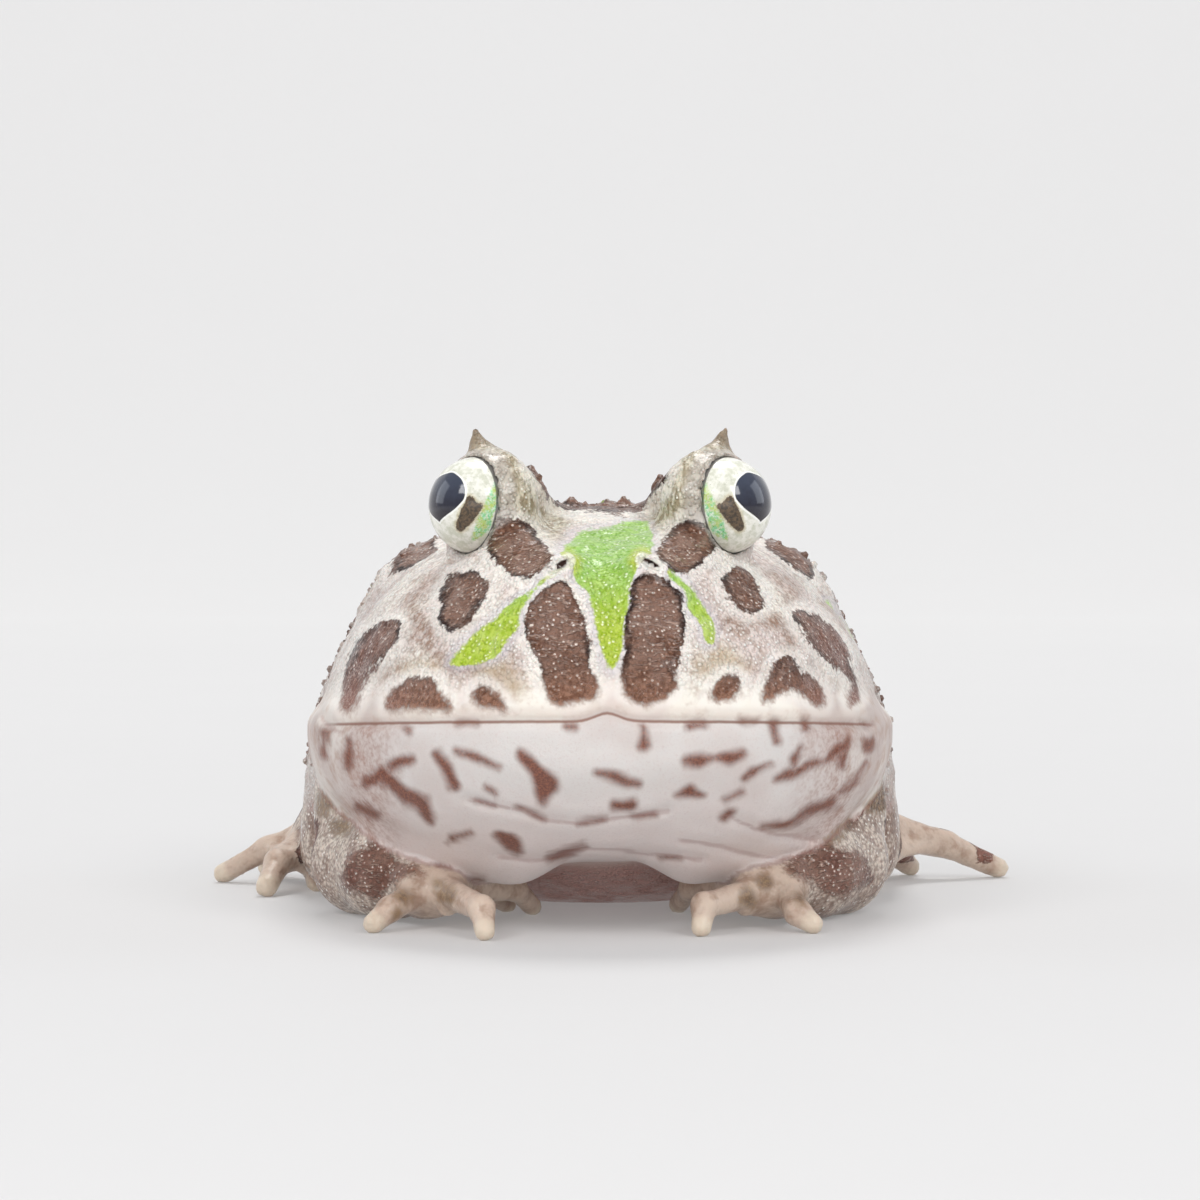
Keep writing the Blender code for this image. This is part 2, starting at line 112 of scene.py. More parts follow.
FEET = {
    -1: {
        "sole": [(32.4, 46.5, 5.4, 3.2), (35.2, 37.0, 5.2, 3.2)],
        "fifth": [(36.0, 39.6, 4.8, 1.9), (40.4, 45.0, 3.0, 1.5), (43.2, 48.6, 1.2, 1.2)],
        "fourth": [(36.4, 37.4, 6.2, 2.1), (42.6, 38.2, 4.2, 1.4), (48.0, 39.0, 1.3, 1.25)],
        "third": [(36.4, 34.8, 5.6, 2.2), (40.0, 25.2, 3.8, 1.6), (41.0, 20.8, 1.4, 1.35)],
        "second": [(34.8, 34.2, 4.6, 1.9), (35.6, 30.6, 3.0, 1.5), (35.4, 27.6, 1.2, 1.2)],
        "first": [(33.0, 35.6, 3.8, 1.7), (31.6, 32.8, 2.4, 1.3), (30.8, 30.6, 1.1, 1.1)],
    },
    1: {
        "sole": [(31.4, 50.5, 5.4, 3.2), (35.4, 41.0, 5.2, 3.2)],
        "fifth": [(36.0, 43.4, 4.6, 2.0), (38.4, 46.6, 3.0, 1.6), (40.2, 48.6, 1.3, 1.3)],
        "fourth": [(37.0, 41.0, 6.4, 2.3), (44.6, 43.4, 4.4, 1.6), (51.4, 45.8, 1.5, 1.35)],
        "third": [(35.6, 38.2, 5.0, 2.1), (35.0, 32.4, 3.4, 1.6), (33.4, 28.8, 1.3, 1.3)],
        "second": [(34.2, 38.0, 4.4, 1.9), (33.2, 33.0, 2.8, 1.4), (32.2, 30.4, 1.2, 1.2)],
        "first": [(32.4, 39.4, 3.8, 1.7), (30.4, 36.4, 2.4, 1.3), (29.4, 34.4, 1.1, 1.1)],
    },
}
TOES = ("fifth", "fourth", "third", "second", "first")


# Round forms, each a distance in millimetres that is negative inside.


def blend(a, b, k):
    """Join two forms with a soft seam about k wide."""
    h = np.maximum(k - np.abs(a - b), 0.0) / k
    return np.minimum(a, b) - h * h * k * 0.25


def carve(a, b, k):
    """Keep what is in both forms, with a soft edge about k wide."""
    return -blend(-a, -b, k)


def step(x, a, b):
    """Go softly from 0 at a to 1 at b."""
    t = np.clip((x - a) / (b - a), 0.0, 1.0)
    return t * t * (3.0 - 2.0 * t)


def bump(x, centre, width):
    """A soft hill of height 1."""
    return np.exp(-(((x - centre) / width) ** 2))


def egg(p, centre, across, along_y, rises, down, side=2.0, front=2.0):
    """A domed form; side and front give how square its outline is seen from there.

    It rises by the first of rises at the snout and by the second at the flanks.
    """
    x = p[0] - centre[0]
    y = p[1] - centre[1]
    z = p[2] - centre[2]
    flat = np.sqrt((x / across) ** 2 + (y / along_y) ** 2) + 1e-6
    share = (x / across / flat) ** 2
    up = rises[0] * (1.0 - share) + rises[1] * share
    rz = np.where(z > 0, up, down)
    tall = np.abs(z) / rz + 1e-6
    n = side * (1.0 - share) + front * share
    q = (flat**n + tall**n) ** (1.0 / n)
    slope_flat = (flat / q) ** (n - 1.0)
    slope_tall = (tall / q) ** (n - 1.0)
    run = np.sqrt((x / across**2) ** 2 + (y / along_y**2) ** 2) / flat
    slope = np.sqrt((slope_flat * run) ** 2 + (slope_tall / rz) ** 2)
    return (q - 1.0) / np.maximum(slope, 0.004)


def ball(p, centre, radius):
    """A ball."""
    x = p[0] - centre[0]
    y = p[1] - centre[1]
    z = p[2] - centre[2]
    return np.sqrt(x * x + y * y + z * z) - radius


def taper(p, a, b, ra, rb):
    """A rod with round ends that goes from radius ra at a to rb at b."""
    d = [b[i] - a[i] for i in range(3)]
    v = [p[i] - a[i] for i in range(3)]
    t = (v[0] * d[0] + v[1] * d[1] + v[2] * d[2]) / (d[0] ** 2 + d[1] ** 2 + d[2] ** 2)
    t = np.clip(t, 0.0, 1.0)
    far = sum((v[i] - t * d[i]) ** 2 for i in range(3))
    return np.sqrt(far) - (ra + t * (rb - ra))


def limb(p, stations, k):
    """Rods through the stations (x, y, z, radius), softly joined."""
    out = None
    for a, b in zip(stations[:-1], stations[1:]):
        rod = taper(p, a, b, a[3], b[3])
        out = rod if out is None else blend(out, rod, k)
    return out


def along(stations, share):
    """The place and radius a share of the way along a limb's stations."""
    at = share * (len(stations) - 1)
    i = min(int(at), len(stations) - 2)
    t = at - i
    return tuple(stations[i][n] * (1 - t) + stations[i + 1][n] * t for n in range(4))


def grounded(stations):
    """A finger or toe whose last station rests on the floor, pressed flat a little."""
    x, y, _, radius = stations[-1]
    return stations[:-1] + [(x, y, radius - PRESS, radius)]


def hand(p, parts):
    """Palm, four fingers and the pad under the palm."""
    out = limb(p, PALM, 1.5)
    for name in TOES[1:]:
        out = blend(out, limb(p, grounded(parts[name]), 0.8), 1.6)
    return blend(out, ball(p, parts["pad"], parts["pad"][3]), 0.8)


def foot(p, parts):
    """Sole, five toes and the webs between the toes' roots."""
    out = limb(p, parts["sole"], 1.5)
    for name in TOES:
        out = blend(out, limb(p, grounded(parts[name]), 0.8), 1.6)
    for a, b in zip(TOES[:-1], TOES[1:]):
        for share in (0.22, 0.42):
            ends = [along(parts[n], share) for n in (a, b)]
            out = blend(out, taper(p, ends[0], ends[1], 0.75, 0.75), 1.6)
    return out


def mouth_height(x, y):
    """Height of the closed mouth's line."""
    run = np.clip((y + 38.0) / 41.0, 0.0, 1.5)
    return MOUTH_FRONT - (MOUTH_FRONT - MOUTH_CORNER) * run + MOUTH_NOTCH * bump(x, 0.8, 1.9)


def lid_opening(p):
    """Distance outside the cone in which the lids are open."""
    v = [p[0] - EYE_SIDE, p[1] - EYE_DEPTH, p[2] - EYE_LEVEL]
    size = math.sqrt(sum(c * c for c in LID_AXIS))
    ahead = sum(v[i] * LID_AXIS[i] for i in range(3)) / size
    far = np.sqrt(v[0] ** 2 + v[1] ** 2 + v[2] ** 2)
    aside = np.sqrt(np.maximum(far**2 - ahead**2, 0.0))
    angle = math.radians(LID_OPENING)
    return aside * math.cos(angle) - ahead * math.sin(angle)


def skull(p):
    """Upper head with snout ridges, lids and horns."""
    x, y, z = p
    rises = (HEAD_RISE, HEAD_RISE)
    middle = (0.0, HEAD_BACK, HEAD_LEVEL)
    out = egg(p, middle, HEAD_HALF_WIDTH, HEAD_LENGTH, rises, 11.0, 2.4, 1.95)
    q = (np.abs(x), y, z)
    out = blend(out, limb(q, SNOUT_RIDGE, 4.0), 5.0)
    out = blend(out, ball(q, NOSTRIL, 1.6), 1.6)
    thick = LID_RIM + (LID_THICKNESS - LID_RIM) * step(lid_opening(q), 0.3, 4.0)
    lids = ball(q, (EYE_SIDE, EYE_DEPTH, EYE_LEVEL), EYE_RADIUS) - thick
    lids = blend(lids, taper(q, (12.2, -10.2, 50.2), (10.0, -6.6, 49.2), 3.3, 3.3), 2.0)
    lids = blend(lids, taper(q, HORN_ROOT, HORN_TIP, 2.7, 0.4), 1.6)
    return blend(out, carve(lids, -lid_opening(q), 0.5), 2.2)


def jaw(p):
    """Lower jaw and throat, two soft lobes with a raised middle."""
    x, y, z = p
    middle = (0.0, HEAD_BACK, HEAD_LEVEL)
    out = egg(p, middle, JAW_HALF_WIDTH, JAW_LENGTH, (24.0, 6.5), JAW_DROP, 2.3, 2.3)
    lobe = taper((np.abs(x), y, z), (10.5, -14.0, 11.4), (20.5, -7.0, 11.8), 6.2, 6.0)
    out = blend(out, lobe, 4.0)
    hollow = np.exp(-(((x - 0.8) / 7.2) ** 4))
    return out + 1.5 * hollow * (1.0 - step(z, 8.0, 15.0))


def trunk(p):
    """Round body, low at the chest and rump."""
    centre = (0.0, BODY_MIDDLE, BODY_LEVEL)
    rises = (BODY_RISE, BODY_RISE)
    length = np.where(p[1] > BODY_MIDDLE, BODY_REAR_LENGTH, BODY_FRONT_LENGTH)
    out = egg(p, centre, BODY_HALF_WIDTH, length, rises, BODY_DROP)
    q = (np.abs(p[0]), p[1], p[2])
    shoulder = taper(q, (19.6, 9.0, 35.6), (20.0, 24.0, 35.2), 7.8, 7.2)
    return blend(out, shoulder, 5.0)


SIDES = ((1, "left"), (-1, "right"))
LIMBS = []
for SIDE, WORD in SIDES:
    LIMBS += [
        ("upper_arm_" + WORD, SIDE, UPPER_ARM),
        ("forearm_" + WORD, SIDE, FOREARM),
        ("hand_" + WORD, SIDE, HANDS[SIDE]),
        ("thigh_" + WORD, SIDE, THIGH),
        ("shank_" + WORD, SIDE, SHANK),
        ("foot_" + WORD, SIDE, FEET[SIDE]),
    ]


def limb_form(p, name, side, shape):
    """One limb part's own form."""
    q = (p[0] * side, p[1], p[2])
    if name.startswith("hand"):
        return hand(q, shape)
    if name.startswith("foot"):
        return foot(q, shape)
    return limb(q, shape, 2.0)


def reach(name, side, shape):
    """The box that holds a limb part."""
    if isinstance(shape, dict):
        rows = [s for v in shape.values() for s in (v if isinstance(v, list) else [v])]
        rows += PALM if name.startswith("hand") else []
    else:
        rows = shape
    rows = np.array(rows)
    low = (rows[:, :3] - rows[:, 3:]).min(0)
    high = (rows[:, :3] + rows[:, 3:]).max(0)
    if side < 0:
        low[0], high[0] = -high[0], -low[0]
    return low, high


def core_form(p):
    """Head, throat and body without the limbs."""
    return blend(blend(skull(p), trunk(p), 3.5), jaw(p), 1.5)


def softness(name):
    """How wide a limb part's seam with the rest is."""
    return 1.2 if name.startswith(("hand", "forearm")) else 3.0


# Small forms that only the skin has. Pointed warts of the brow: place and size.
RIDGE_WARTS = [
    (-8.2, -4.6, 52.6, 0.8), (-7.4, -2.6, 51.0, 0.7), (-6.5, -0.6, 49.4, 0.6), (-3.3, 2.2, 49.1, 1.15),
    (-1.8, 3.4, 48.2, 0.6), (2.8, 2.6, 49.0, 1.15), (7.0, -3.0, 51.6, 0.75), (6.6, -1.0, 50.0, 0.6),
    (-5.0, 1.0, 48.3, 0.6), (4.6, 1.6, 48.2, 0.6), (0.6, 4.2, 48.2, 0.6), (-9.4, 0.4, 49.0, 0.5),
    (9.0, 0.8, 48.8, 0.5), (11.0, -4.8, 52.6, 0.5), (-11.0, -5.0, 52.8, 0.5), (-9.6, -6.4, 53.0, 0.55),
    (9.6, -6.0, 52.9, 0.55),
]
# Creases of the throat and of the mouth's corners, as they appear from the viewpoint.
CREASES = [
    [(-15.5, 13.6), (-12.4, 12.7), (-9.8, 12.2), (-6.7, 11.4), (-2.6, 10.8), (0.5, 11.2), (3.8, 11.4),
        (8, 12.3)],
    [(-12, 6.9), (-8.5, 6.4), (-5.9, 6.6), (-1.5, 7.8), (2, 7.6), (7.3, 6.9), (12, 6.6)],
    [(15, 11.6), (18, 10.2), (21, 9.3), (25, 9)],
    [(9.5, 8.6), (14, 8), (18, 6.9), (22, 6.6)],
    [(-32.6, 23.4), (-31.8, 22), (-30.6, 21.5)],
    [(30.4, 22.9), (31.3, 22), (32.2, 22.9)],
]


def inside_line(across, up, stations):
    """Distance inside a stroke through stations (across, up, half width)."""
    out = np.full(np.shape(across), -9.0)
    for a, b in zip(stations[:-1], stations[1:]):
        dx, dz = b[0] - a[0], b[1] - a[1]
        t = np.clip(((across - a[0]) * dx + (up - a[1]) * dz) / (dx * dx + dz * dz), 0.0, 1.0)
        far = np.hypot(across - a[0] - t * dx, up - a[1] - t * dz)
        wide = a[2] + t * (b[2] - a[2]) if len(a) > 2 else 0.0
        out = np.maximum(out, wide - far)
    return out


def deepest(depths, least):
    """The greatest of several distances inside, and nowhere under least."""
    return np.max(list(depths), axis=0, initial=least)


def seen(p):
    """Where places appear on the plane y = 0 from the viewpoint, in millimetres."""
    s = VIEW_FAR / (VIEW_FAR + p[1])
    return p[0] * s, VIEW_HIGH + (p[2] - VIEW_HIGH) * s


def creases(across, up):
    """Distance from the nearest crease, zero in it and negative beside it."""
    return deepest((inside_line(across, up, row) for row in CREASES), -9.0)


def before_corner(across, y):
    """1 along the mouth, falling to 0 past its corners."""
    return (1.0 - step(y, -8.0, -1.0)) * (1.0 - step(np.abs(across), 30.5, 33.0))


def dressed(p, whole):
    """The skin's own fine forms: lips, creases, nostrils, sockets and warts."""
    x, y, z = p
    lip = z - mouth_height(x, y)
    across, up = seen(p)
    front = before_corner(across, y)
    whole = whole + 0.55 * bump(lip, 0.0, 0.5) * front
    whole = whole - 0.22 * bump(lip, 1.9, 1.3) * front - 0.12 * bump(lip, -1.6, 1.2) * front
    ahead_of_arms = 1.0 - step(y, -10.0, -3.0)
    fold = creases(across, up)
    whole = whole + (0.26 * bump(fold, 0.0, 0.45) - 0.1 * bump(fold, -1.3, 0.8)) * ahead_of_arms
    q = (np.abs(x), y, z)
    nose = 1.0 - step(y, -24.0, -20.0)
    for stations in SLITS:
        slit = inside_line(across, up, stations)
        whole = whole + nose * (0.75 * bump(slit, 0.3, 0.45) - 0.28 * bump(slit, -0.55, 0.5))
    whole = blend(whole, taper(q, (8.2, -5.5, 48.9), (5.6, -1.5, 47.2), 1.5, 1.2), 2.4)
    for wx, wy, wz, size in RIDGE_WARTS:
        wart = taper(p, (wx, wy, wz - 1.5 * size), (wx, wy, wz + 0.3), 1.4 * size, 0.2)
        whole = blend(whole, wart, 0.9)
    eye = (EYE_SIDE, EYE_DEPTH, EYE_LEVEL)
    open_lids = np.maximum(lid_opening(q) + 0.1, ball(q, eye, EYE_RADIUS + 2.0))
    whole = carve(whole, -open_lids, 0.5)
    whole = carve(whole, EYE_RADIUS + 0.03 - ball(q, eye, 0.0), 0.25)
    return np.maximum(whole, -z)


def skin_form(p):
    """The whole skin's distance, and each limb part's claim on a place."""
    whole = core_form(p)
    claims = {"core": whole}
    for name, side, shape in LIMBS:
        claims[name] = limb_form(p, name, side, shape)
        whole = blend(whole, claims[name], softness(name))
    for _, word in SIDES:
        whole = np.minimum(whole, blend(claims["forearm_" + word], claims["hand_" + word], 3.0))
    return dressed(p, whole), claims


# Skin mesh


def stops(*runs):
    """Grid lines through runs of (start, end, spacing)."""
    rows = [np.arange(a, b - 0.3 * gap, gap) for a, b, gap in runs]
    return np.concatenate(rows + [[runs[-1][1]]])


def block(rows, low, high):
    """The part of the grid that a box holds."""
    cut = []
    for i in range(3):
        a = int(np.searchsorted(rows[i], low[i]))
        b = int(np.searchsorted(rows[i], high[i]))
        cut.append(slice(max(a - 1, 0), b + 1))
    return tuple(cut)


def skin_grid(rows):
    """The skin's distance on a grid, each limb worked out only near itself."""
    p = np.meshgrid(*[r.astype(np.float32) for r in rows], indexing="ij")
    whole = core_form(p)
    kept = {}
    for name, side, shape in LIMBS:
        low, high = reach(name, side, shape)
        cut = block(rows, low - 6.0, high + 6.0)
        q = [c[cut] for c in p]
        whole[cut] = blend(whole[cut], limb_form(q, name, side, shape), softness(name))
        kept[name] = (low, high)
    for side, word in SIDES:
        low = np.minimum(kept["forearm_" + word][0], kept["hand_" + word][0])
        high = np.maximum(kept["forearm_" + word][1], kept["hand_" + word][1])
        cut = block(rows, low - 4.0, high + 4.0)
        q = [c[cut] for c in p]
        arm = limb_form(q, "forearm_", side, FOREARM)
        palm = limb_form(q, "hand_", side, HANDS[side])
        whole[cut] = np.minimum(whole[cut], blend(arm, palm, 3.0))
    return dressed(p, whole)


def largest(quads, count):
    """Which corners belong to the largest closed surface."""
    label = np.arange(count)
    while True:
        low = label[quads].min(1)
        new = label.copy()
        np.minimum.at(new, quads, low[:, None])
        new = new[new]
        if (new == label).all():
            break
        label = new
    return label == np.bincount(label).argmax()


def skin_slope(points):
    """Distance and its slope at the skin's corners."""
    nudge = 0.02
    here = skin_form(tuple(points.T))[0]
    rise = np.zeros_like(points)
    for axis in range(3):
        moved = points.copy()
        moved[:, axis] += nudge
        rise[:, axis] = (skin_form(tuple(moved.T))[0] - here) / nudge
    return here, rise


def skin_surface():
    """Corners and four-sided faces of the skin, in millimetres."""
    grow = 1.0
    rows = [
        stops((-51.0, -37.0, 0.68 * grow), (-37.0, 37.0, 0.56 * grow), (37.0, 54.5, 0.68 * grow)),
        stops((-40.0, 12.0, 0.5 * grow), (12.0, 24.0, 0.68 * grow), (24.0, 66.0, 0.86 * grow)),
        stops((-0.6, 20.0, 0.6 * grow), (20.0, 27.0, 0.4 * grow), (27.0, 42.0, 0.56 * grow),
              (42.0, 58.6, 0.44 * grow)),
    ]
    field = skin_grid(rows)
    mesh = openvdb.FloatGrid(3.0)
    mesh.copyFromArray(np.clip(field, -3.0, 3.0).astype(np.float32))
    points, quads = mesh.convertToQuads(isovalue=0.0)
    quads = quads.astype(np.int64)
    keep = largest(quads, len(points))
    quads = quads[keep[quads[:, 0]]]
    used = np.flatnonzero(keep)
    index = np.full(len(points), -1)
    index[used] = np.arange(len(used))
    points = points[used]
    points = np.stack([np.interp(points[:, i], np.arange(len(rows[i])), rows[i]) for i in range(3)], 1)
    for _ in range(2):
        here, rise = skin_slope(points)
        size = np.maximum((rise**2).sum(1), 0.25)
        move = -(here / size)[:, None] * rise
        reach_now = np.linalg.norm(move, axis=1, keepdims=True)
        points = points + move * np.minimum(1.0, 0.3 / np.maximum(reach_now, 1e-9))
    return points, index[quads]


def corner_normals(points, quads):
    """Outward direction at each corner."""
    a, b, c, d = (points[quads[:, i]] for i in range(4))
    face = np.cross(c - a, d - b)
    out = np.zeros_like(points)
    for i in range(4):
        np.add.at(out, quads[:, i], face)
    return out / np.maximum(np.linalg.norm(out, axis=1, keepdims=True), 1e-9)


# Markings. Those in front are given as they appear from the viewpoint, in millimetres on y = 0.
# A mark's value is how far a place lies inside it, and places far outside have the value OUTSIDE.
OUTSIDE = -6.0
# How far the outlines in front are stirred, and the marks of the back, in large and in small lumps.
STIR = 0.42
WANDER_LARGE = 3.4
WANDER_SMALL = 1.1
# The head's front part ends about here, the shoulders' patches and the crown's band behind it.
NECK_LINE = 12.0
SHOULDER_END = 13.0
CROWN_END = 21.0

BLOTCHES_HEAD = {
    "eye_patch_right": [(-12.7, 46.7), (-9.3, 46.7), (-5.5, 42.4), (-6.2, 40.2), (-9.9, 39.5),
        (-13.3, 42)],
    "eye_patch_left": [(9.8, 46.7), (11.5, 46.7), (14.4, 43.9), (12.5, 41.9), (9.8, 39.6), (5.9, 42.4)],
    "cheek_right": [(-17.9, 39.9), (-15.3, 40.7), (-13.3, 39.8), (-13.2, 37.4), (-15.3, 34.6),
        (-17.8, 32.8), (-18.9, 34.5), (-18.8, 37.1)],
    "cheek_left": [(14.6, 40.4), (16.7, 40.8), (17.9, 39.4), (19.4, 37.4), (19.2, 35.6), (17.4, 35.2),
        (15.3, 36.6), (14.2, 38.5)],
    "side_right": [(-29.2, 30.6), (-27.6, 33.4), (-24.7, 34.8), (-23.1, 34.6), (-24.2, 31.2),
        (-26.7, 29.1), (-28, 26.5), (-29.1, 23.3), (-30.7, 24.2), (-30.2, 27.6)],
    "side_left": [(22.5, 35.9), (23.9, 35.9), (26.6, 34.6), (28.8, 31.6), (30.4, 27.4), (30.6, 25.5),
        (29.5, 24.2), (29.1, 26), (29.5, 27.8), (25.9, 30.5), (23.6, 33.4)],
    "snout_bar_right": [(-7.9, 37.6), (-3.9, 39.9), (-2.7, 36.9), (-1.2, 32.7), (-0.9, 29.3), (0, 27.4),
        (-0.2, 25.4), (-1.6, 25.2), (-4.4, 24.5), (-6.2, 25.2), (-6.9, 28.8), (-8.9, 32.7)],
    "snout_bar_left": [(4.4, 40.2), (8.9, 39.3), (10.1, 34.4), (9.9, 32.1), (8.9, 29.2), (9.2, 26.2),
        (5.2, 24.5), (2.5, 25.8), (2.2, 27.4), (2.9, 30.5), (2.9, 34.4), (3.8, 38.8)],
    "lip_spot_right": [(-15.2, 25.9), (-14.1, 27.3), (-11.3, 25.4), (-10.8, 23.5), (-14.5, 24.5)],
    "lip_spot_left": [(12.6, 25.9), (13.6, 27.9), (16.2, 28.5), (16.7, 26.7), (16, 25.1), (13.6, 24.6)],
    "arch_right": [(-25.5, 23.8), (-24.7, 26.4), (-21.9, 28.2), (-19.6, 27.9), (-18, 25.4), (-17.1, 23.6),
        (-19.8, 23.8), (-21.6, 24.6), (-23.5, 23.9)],
    "arch_left": [(18.5, 24.7), (20.2, 29.2), (21.2, 30.7), (22.9, 30.5), (23.6, 28.5), (24.7, 28.5),
        (26.6, 26.2), (26.4, 24), (23.6, 26), (22, 26.5), (20.9, 25.1)],
}
GREEN_HEAD = {
    "crown": [(-5, 42.1), (-3.8, 43.7), (-3.1, 44.6), (-1.6, 45.3), (0, 45.3), (2.5, 46.1), (4.8, 46.4),
        (5.9, 46), (6.2, 45), (5.9, 41.7), (5, 41.6), (4.2, 40.8), (3.6, 38.3), (3, 35.8), (2.9, 32.4),
        (2.4, 29.8), (1.4, 28.9), (0.5, 30), (-0.2, 32.4), (-0.8, 35.8), (-1.6, 38.3), (-2.9, 39.4),
        (-3.3, 40.6), (-3.8, 41.2)],
    "streak_right": [(-3.4, 41.3), (-6.5, 39.9), (-10.1, 36.9), (-13.6, 33.9), (-17.5, 30.5), (-18, 29.3),
        (-14.1, 29.3), (-11.3, 31.2), (-9.9, 33.3), (-8.9, 36), (-7.9, 38.1), (-5.6, 39.6)],
}
GREEN_LINE = [
    (8.1, 40.2, 0.3), (9.4, 39.1, 0.4), (10.4, 37.9, 0.55), (11.4, 36.2, 0.65), (12.4, 34.7, 0.8),
    (12.8, 32.7, 0.7),
]
GREEN_SIDE = [(26.6, 36.4, 0.5), (28.2, 34.0, 0.6), (29.4, 31.6, 0.4)]
THROAT_STREAKS = [
    [(-19.2, 18.9, 0.53), (-18, 17.3, 0.53), (-17.3, 15.2, 0.71)],
    [(-16.9, 19.1, 0.35), (-14.4, 18.4, 0.35), (-11.9, 17.3, 0.24)],
    [(-9.2, 19, 0.65), (-7.6, 16.9, 0.71), (-6.2, 15.3, 1.18), (-6.7, 13.4, 0.71)],
    [(-13.3, 14.8, 0.24), (-12.2, 14.2, 0.24)],
    [(-14.5, 13.2, 0.14), (-12.4, 12.7, 0.12)],
    [(-9.8, 12.7, 0.18), (-6.7, 11.4, 0.21)],
    [(-2.6, 10.7, 0.14), (0.5, 11.3, 0.14)],
    [(-17.5, 8.9, 0.41), (-15.1, 9.6, 0.35)],
    [(-11.8, 9.2, 0.65), (-10.6, 8.5, 0.88), (-9.7, 7.4, 0.47)],
    [(-5.9, 6.6, 0.53), (-4.4, 7.1, 0.47), (-1.8, 8.1, 0.18)],
    [(-27.6, 15.2, 0.59), (-26, 16.5, 0.71), (-24.4, 15.5, 0.71), (-22.7, 13.9, 0.82),
        (-21.1, 12.9, 0.88), (-19.9, 11.1, 0.65)],
    [(-24.8, 17.4, 0.59), (-23.6, 17.9, 0.53), (-22.3, 18.3, 0.53)],
    [(-29.7, 20.4, 0.47), (-29.7, 17.6, 0.47)],
    [(-32.5, 21.6, 0.59), (-32.5, 18.8, 0.53)],
    [(-28.4, 12.5, 0.76), (-26.7, 11.8, 0.76)],
    [(-19, 5.5, 0.47), (-18.1, 5.1, 0.41)],
    [(-15.1, 4.2, 0.29), (-13.8, 4.1, 0.29)],
    [(-22.6, 21.9, 0.47), (-22.5, 21.6, 0.35)],
    [(-16.5, 22.5, 0.24), (-14.6, 22.5, 0.24)],
    [(-4.1, 21.9, 0.35), (-2.9, 21.9, 0.35)],
    [(-0.2, 16.6, 0.35), (1.8, 16.1, 0.47), (4.3, 15.4, 0.53)],
    [(1.6, 12.9, 0.65), (3.6, 13.1, 0.71)],
    [(5.1, 22.3, 0.35), (5.1, 20.9, 0.24), (5.2, 19.8, 0.71)],
    [(10.6, 22.2, 0.47), (12, 22.4, 0.47)],
    [(16.9, 23.2, 0.47), (18.4, 22.9, 0.47)],
    [(20.5, 22.7, 0.59), (20.6, 22, 0.41), (20.9, 20.4, 0.41)],
    [(24.1, 23.2, 0.47), (24.2, 22, 0.35)],
    [(10.2, 18, 0.53), (11.8, 18.2, 0.53), (13.7, 18.3, 0.14), (15.1, 18.3, 0.65), (16.6, 19.1, 0.47)],
    [(17.1, 16, 0.53), (18.1, 16.9, 0.47), (20, 17.7, 0.12)],
    [(8.9, 14, 0.24), (10.7, 14.6, 0.65), (12, 14.1, 0.24)],
    [(14.6, 13.6, 0.24), (16.6, 14.4, 0.21)],
    [(14.7, 11.4, 0.59), (15.3, 12, 0.59)],
    [(3.8, 11.4, 0.14), (6.5, 11.8, 0.14)],
    [(7.3, 6.4, 0.18), (9.3, 6.5, 0.15)],
    [(19.4, 10.3, 0.35), (21.8, 10.6, 0.4), (23.7, 11.4, 0.35), (25.5, 12.5, 0.6), (27.2, 13.1, 0.8)],
    [(28.2, 14.3, 0.3), (30.1, 15.8, 0.35), (31.2, 17.6, 0.2)],
    [(20.8, 16, 0.35), (22.6, 16.6, 0.53), (24.4, 17.3, 0.35), (26.7, 18.2, 0.29), (28.6, 19.7, 0.47),
        (29.1, 20.6, 0.24)],
    [(23, 17.4, 0.29), (23.1, 18.5, 0.53), (23.7, 19.5, 0.24)],
    [(28.6, 18.5, 0.59), (28.6, 17.4, 0.53)],
    [(31.6, 20.3, 0.71), (31.5, 19.6, 0.71)],
]
BLOTCHES_ARM = {
    "forearm_right": [(-30.5, 5.6), (-29.5, 7.2), (-27.6, 7.8), (-26.2, 8.7), (-25, 7.6), (-23.2, 6.3),
        (-21.3, 5.2), (-20.4, 4.8), (-22.3, 4.4), (-23.7, 4.3), (-24.6, 3.3), (-25.5, 2.3), (-26.9, 1.9),
        (-28.4, 2.6), (-29.7, 3), (-30.5, 3.7)],
    "forearm_left": [(21.2, 5.2), (24.6, 8.1), (26.6, 9.2), (28.2, 7.8), (30.6, 7.5), (31.8, 6),
        (32, 3.9), (30.6, 2.9), (28.7, 2), (26.8, 2), (25.4, 3.6), (24, 4.1), (22.6, 4.5)],
    "upper_left": [(28.2, 10.5), (29.4, 12.6), (31, 13.3), (30.8, 11.2), (29.2, 9.5)],
    "shoulder_left": [(31, 14.1), (32.3, 15.6), (33.5, 14.8), (34.3, 13.6), (34.2, 12.5), (33, 12),
        (31.4, 13)],
}
ARM_DOTS = [
    (-19.2, 3.7, 0.5), (-18.1, 2.4, 0.75), (-23.2, 2.2, 0.65), (-24.1, 0.2, 0.35), (19.5, 3.8, 0.6),
    (17.4, 2, 0.8), (23.6, 1.9, 0.5), (-30.3, 10.4, 0.9), (27.4, 9.7, 1.0), (-32.2, 13.4, 1.3),
    (28.6, 10.8, 0.8), (33.0, 13.9, 1.7),
]
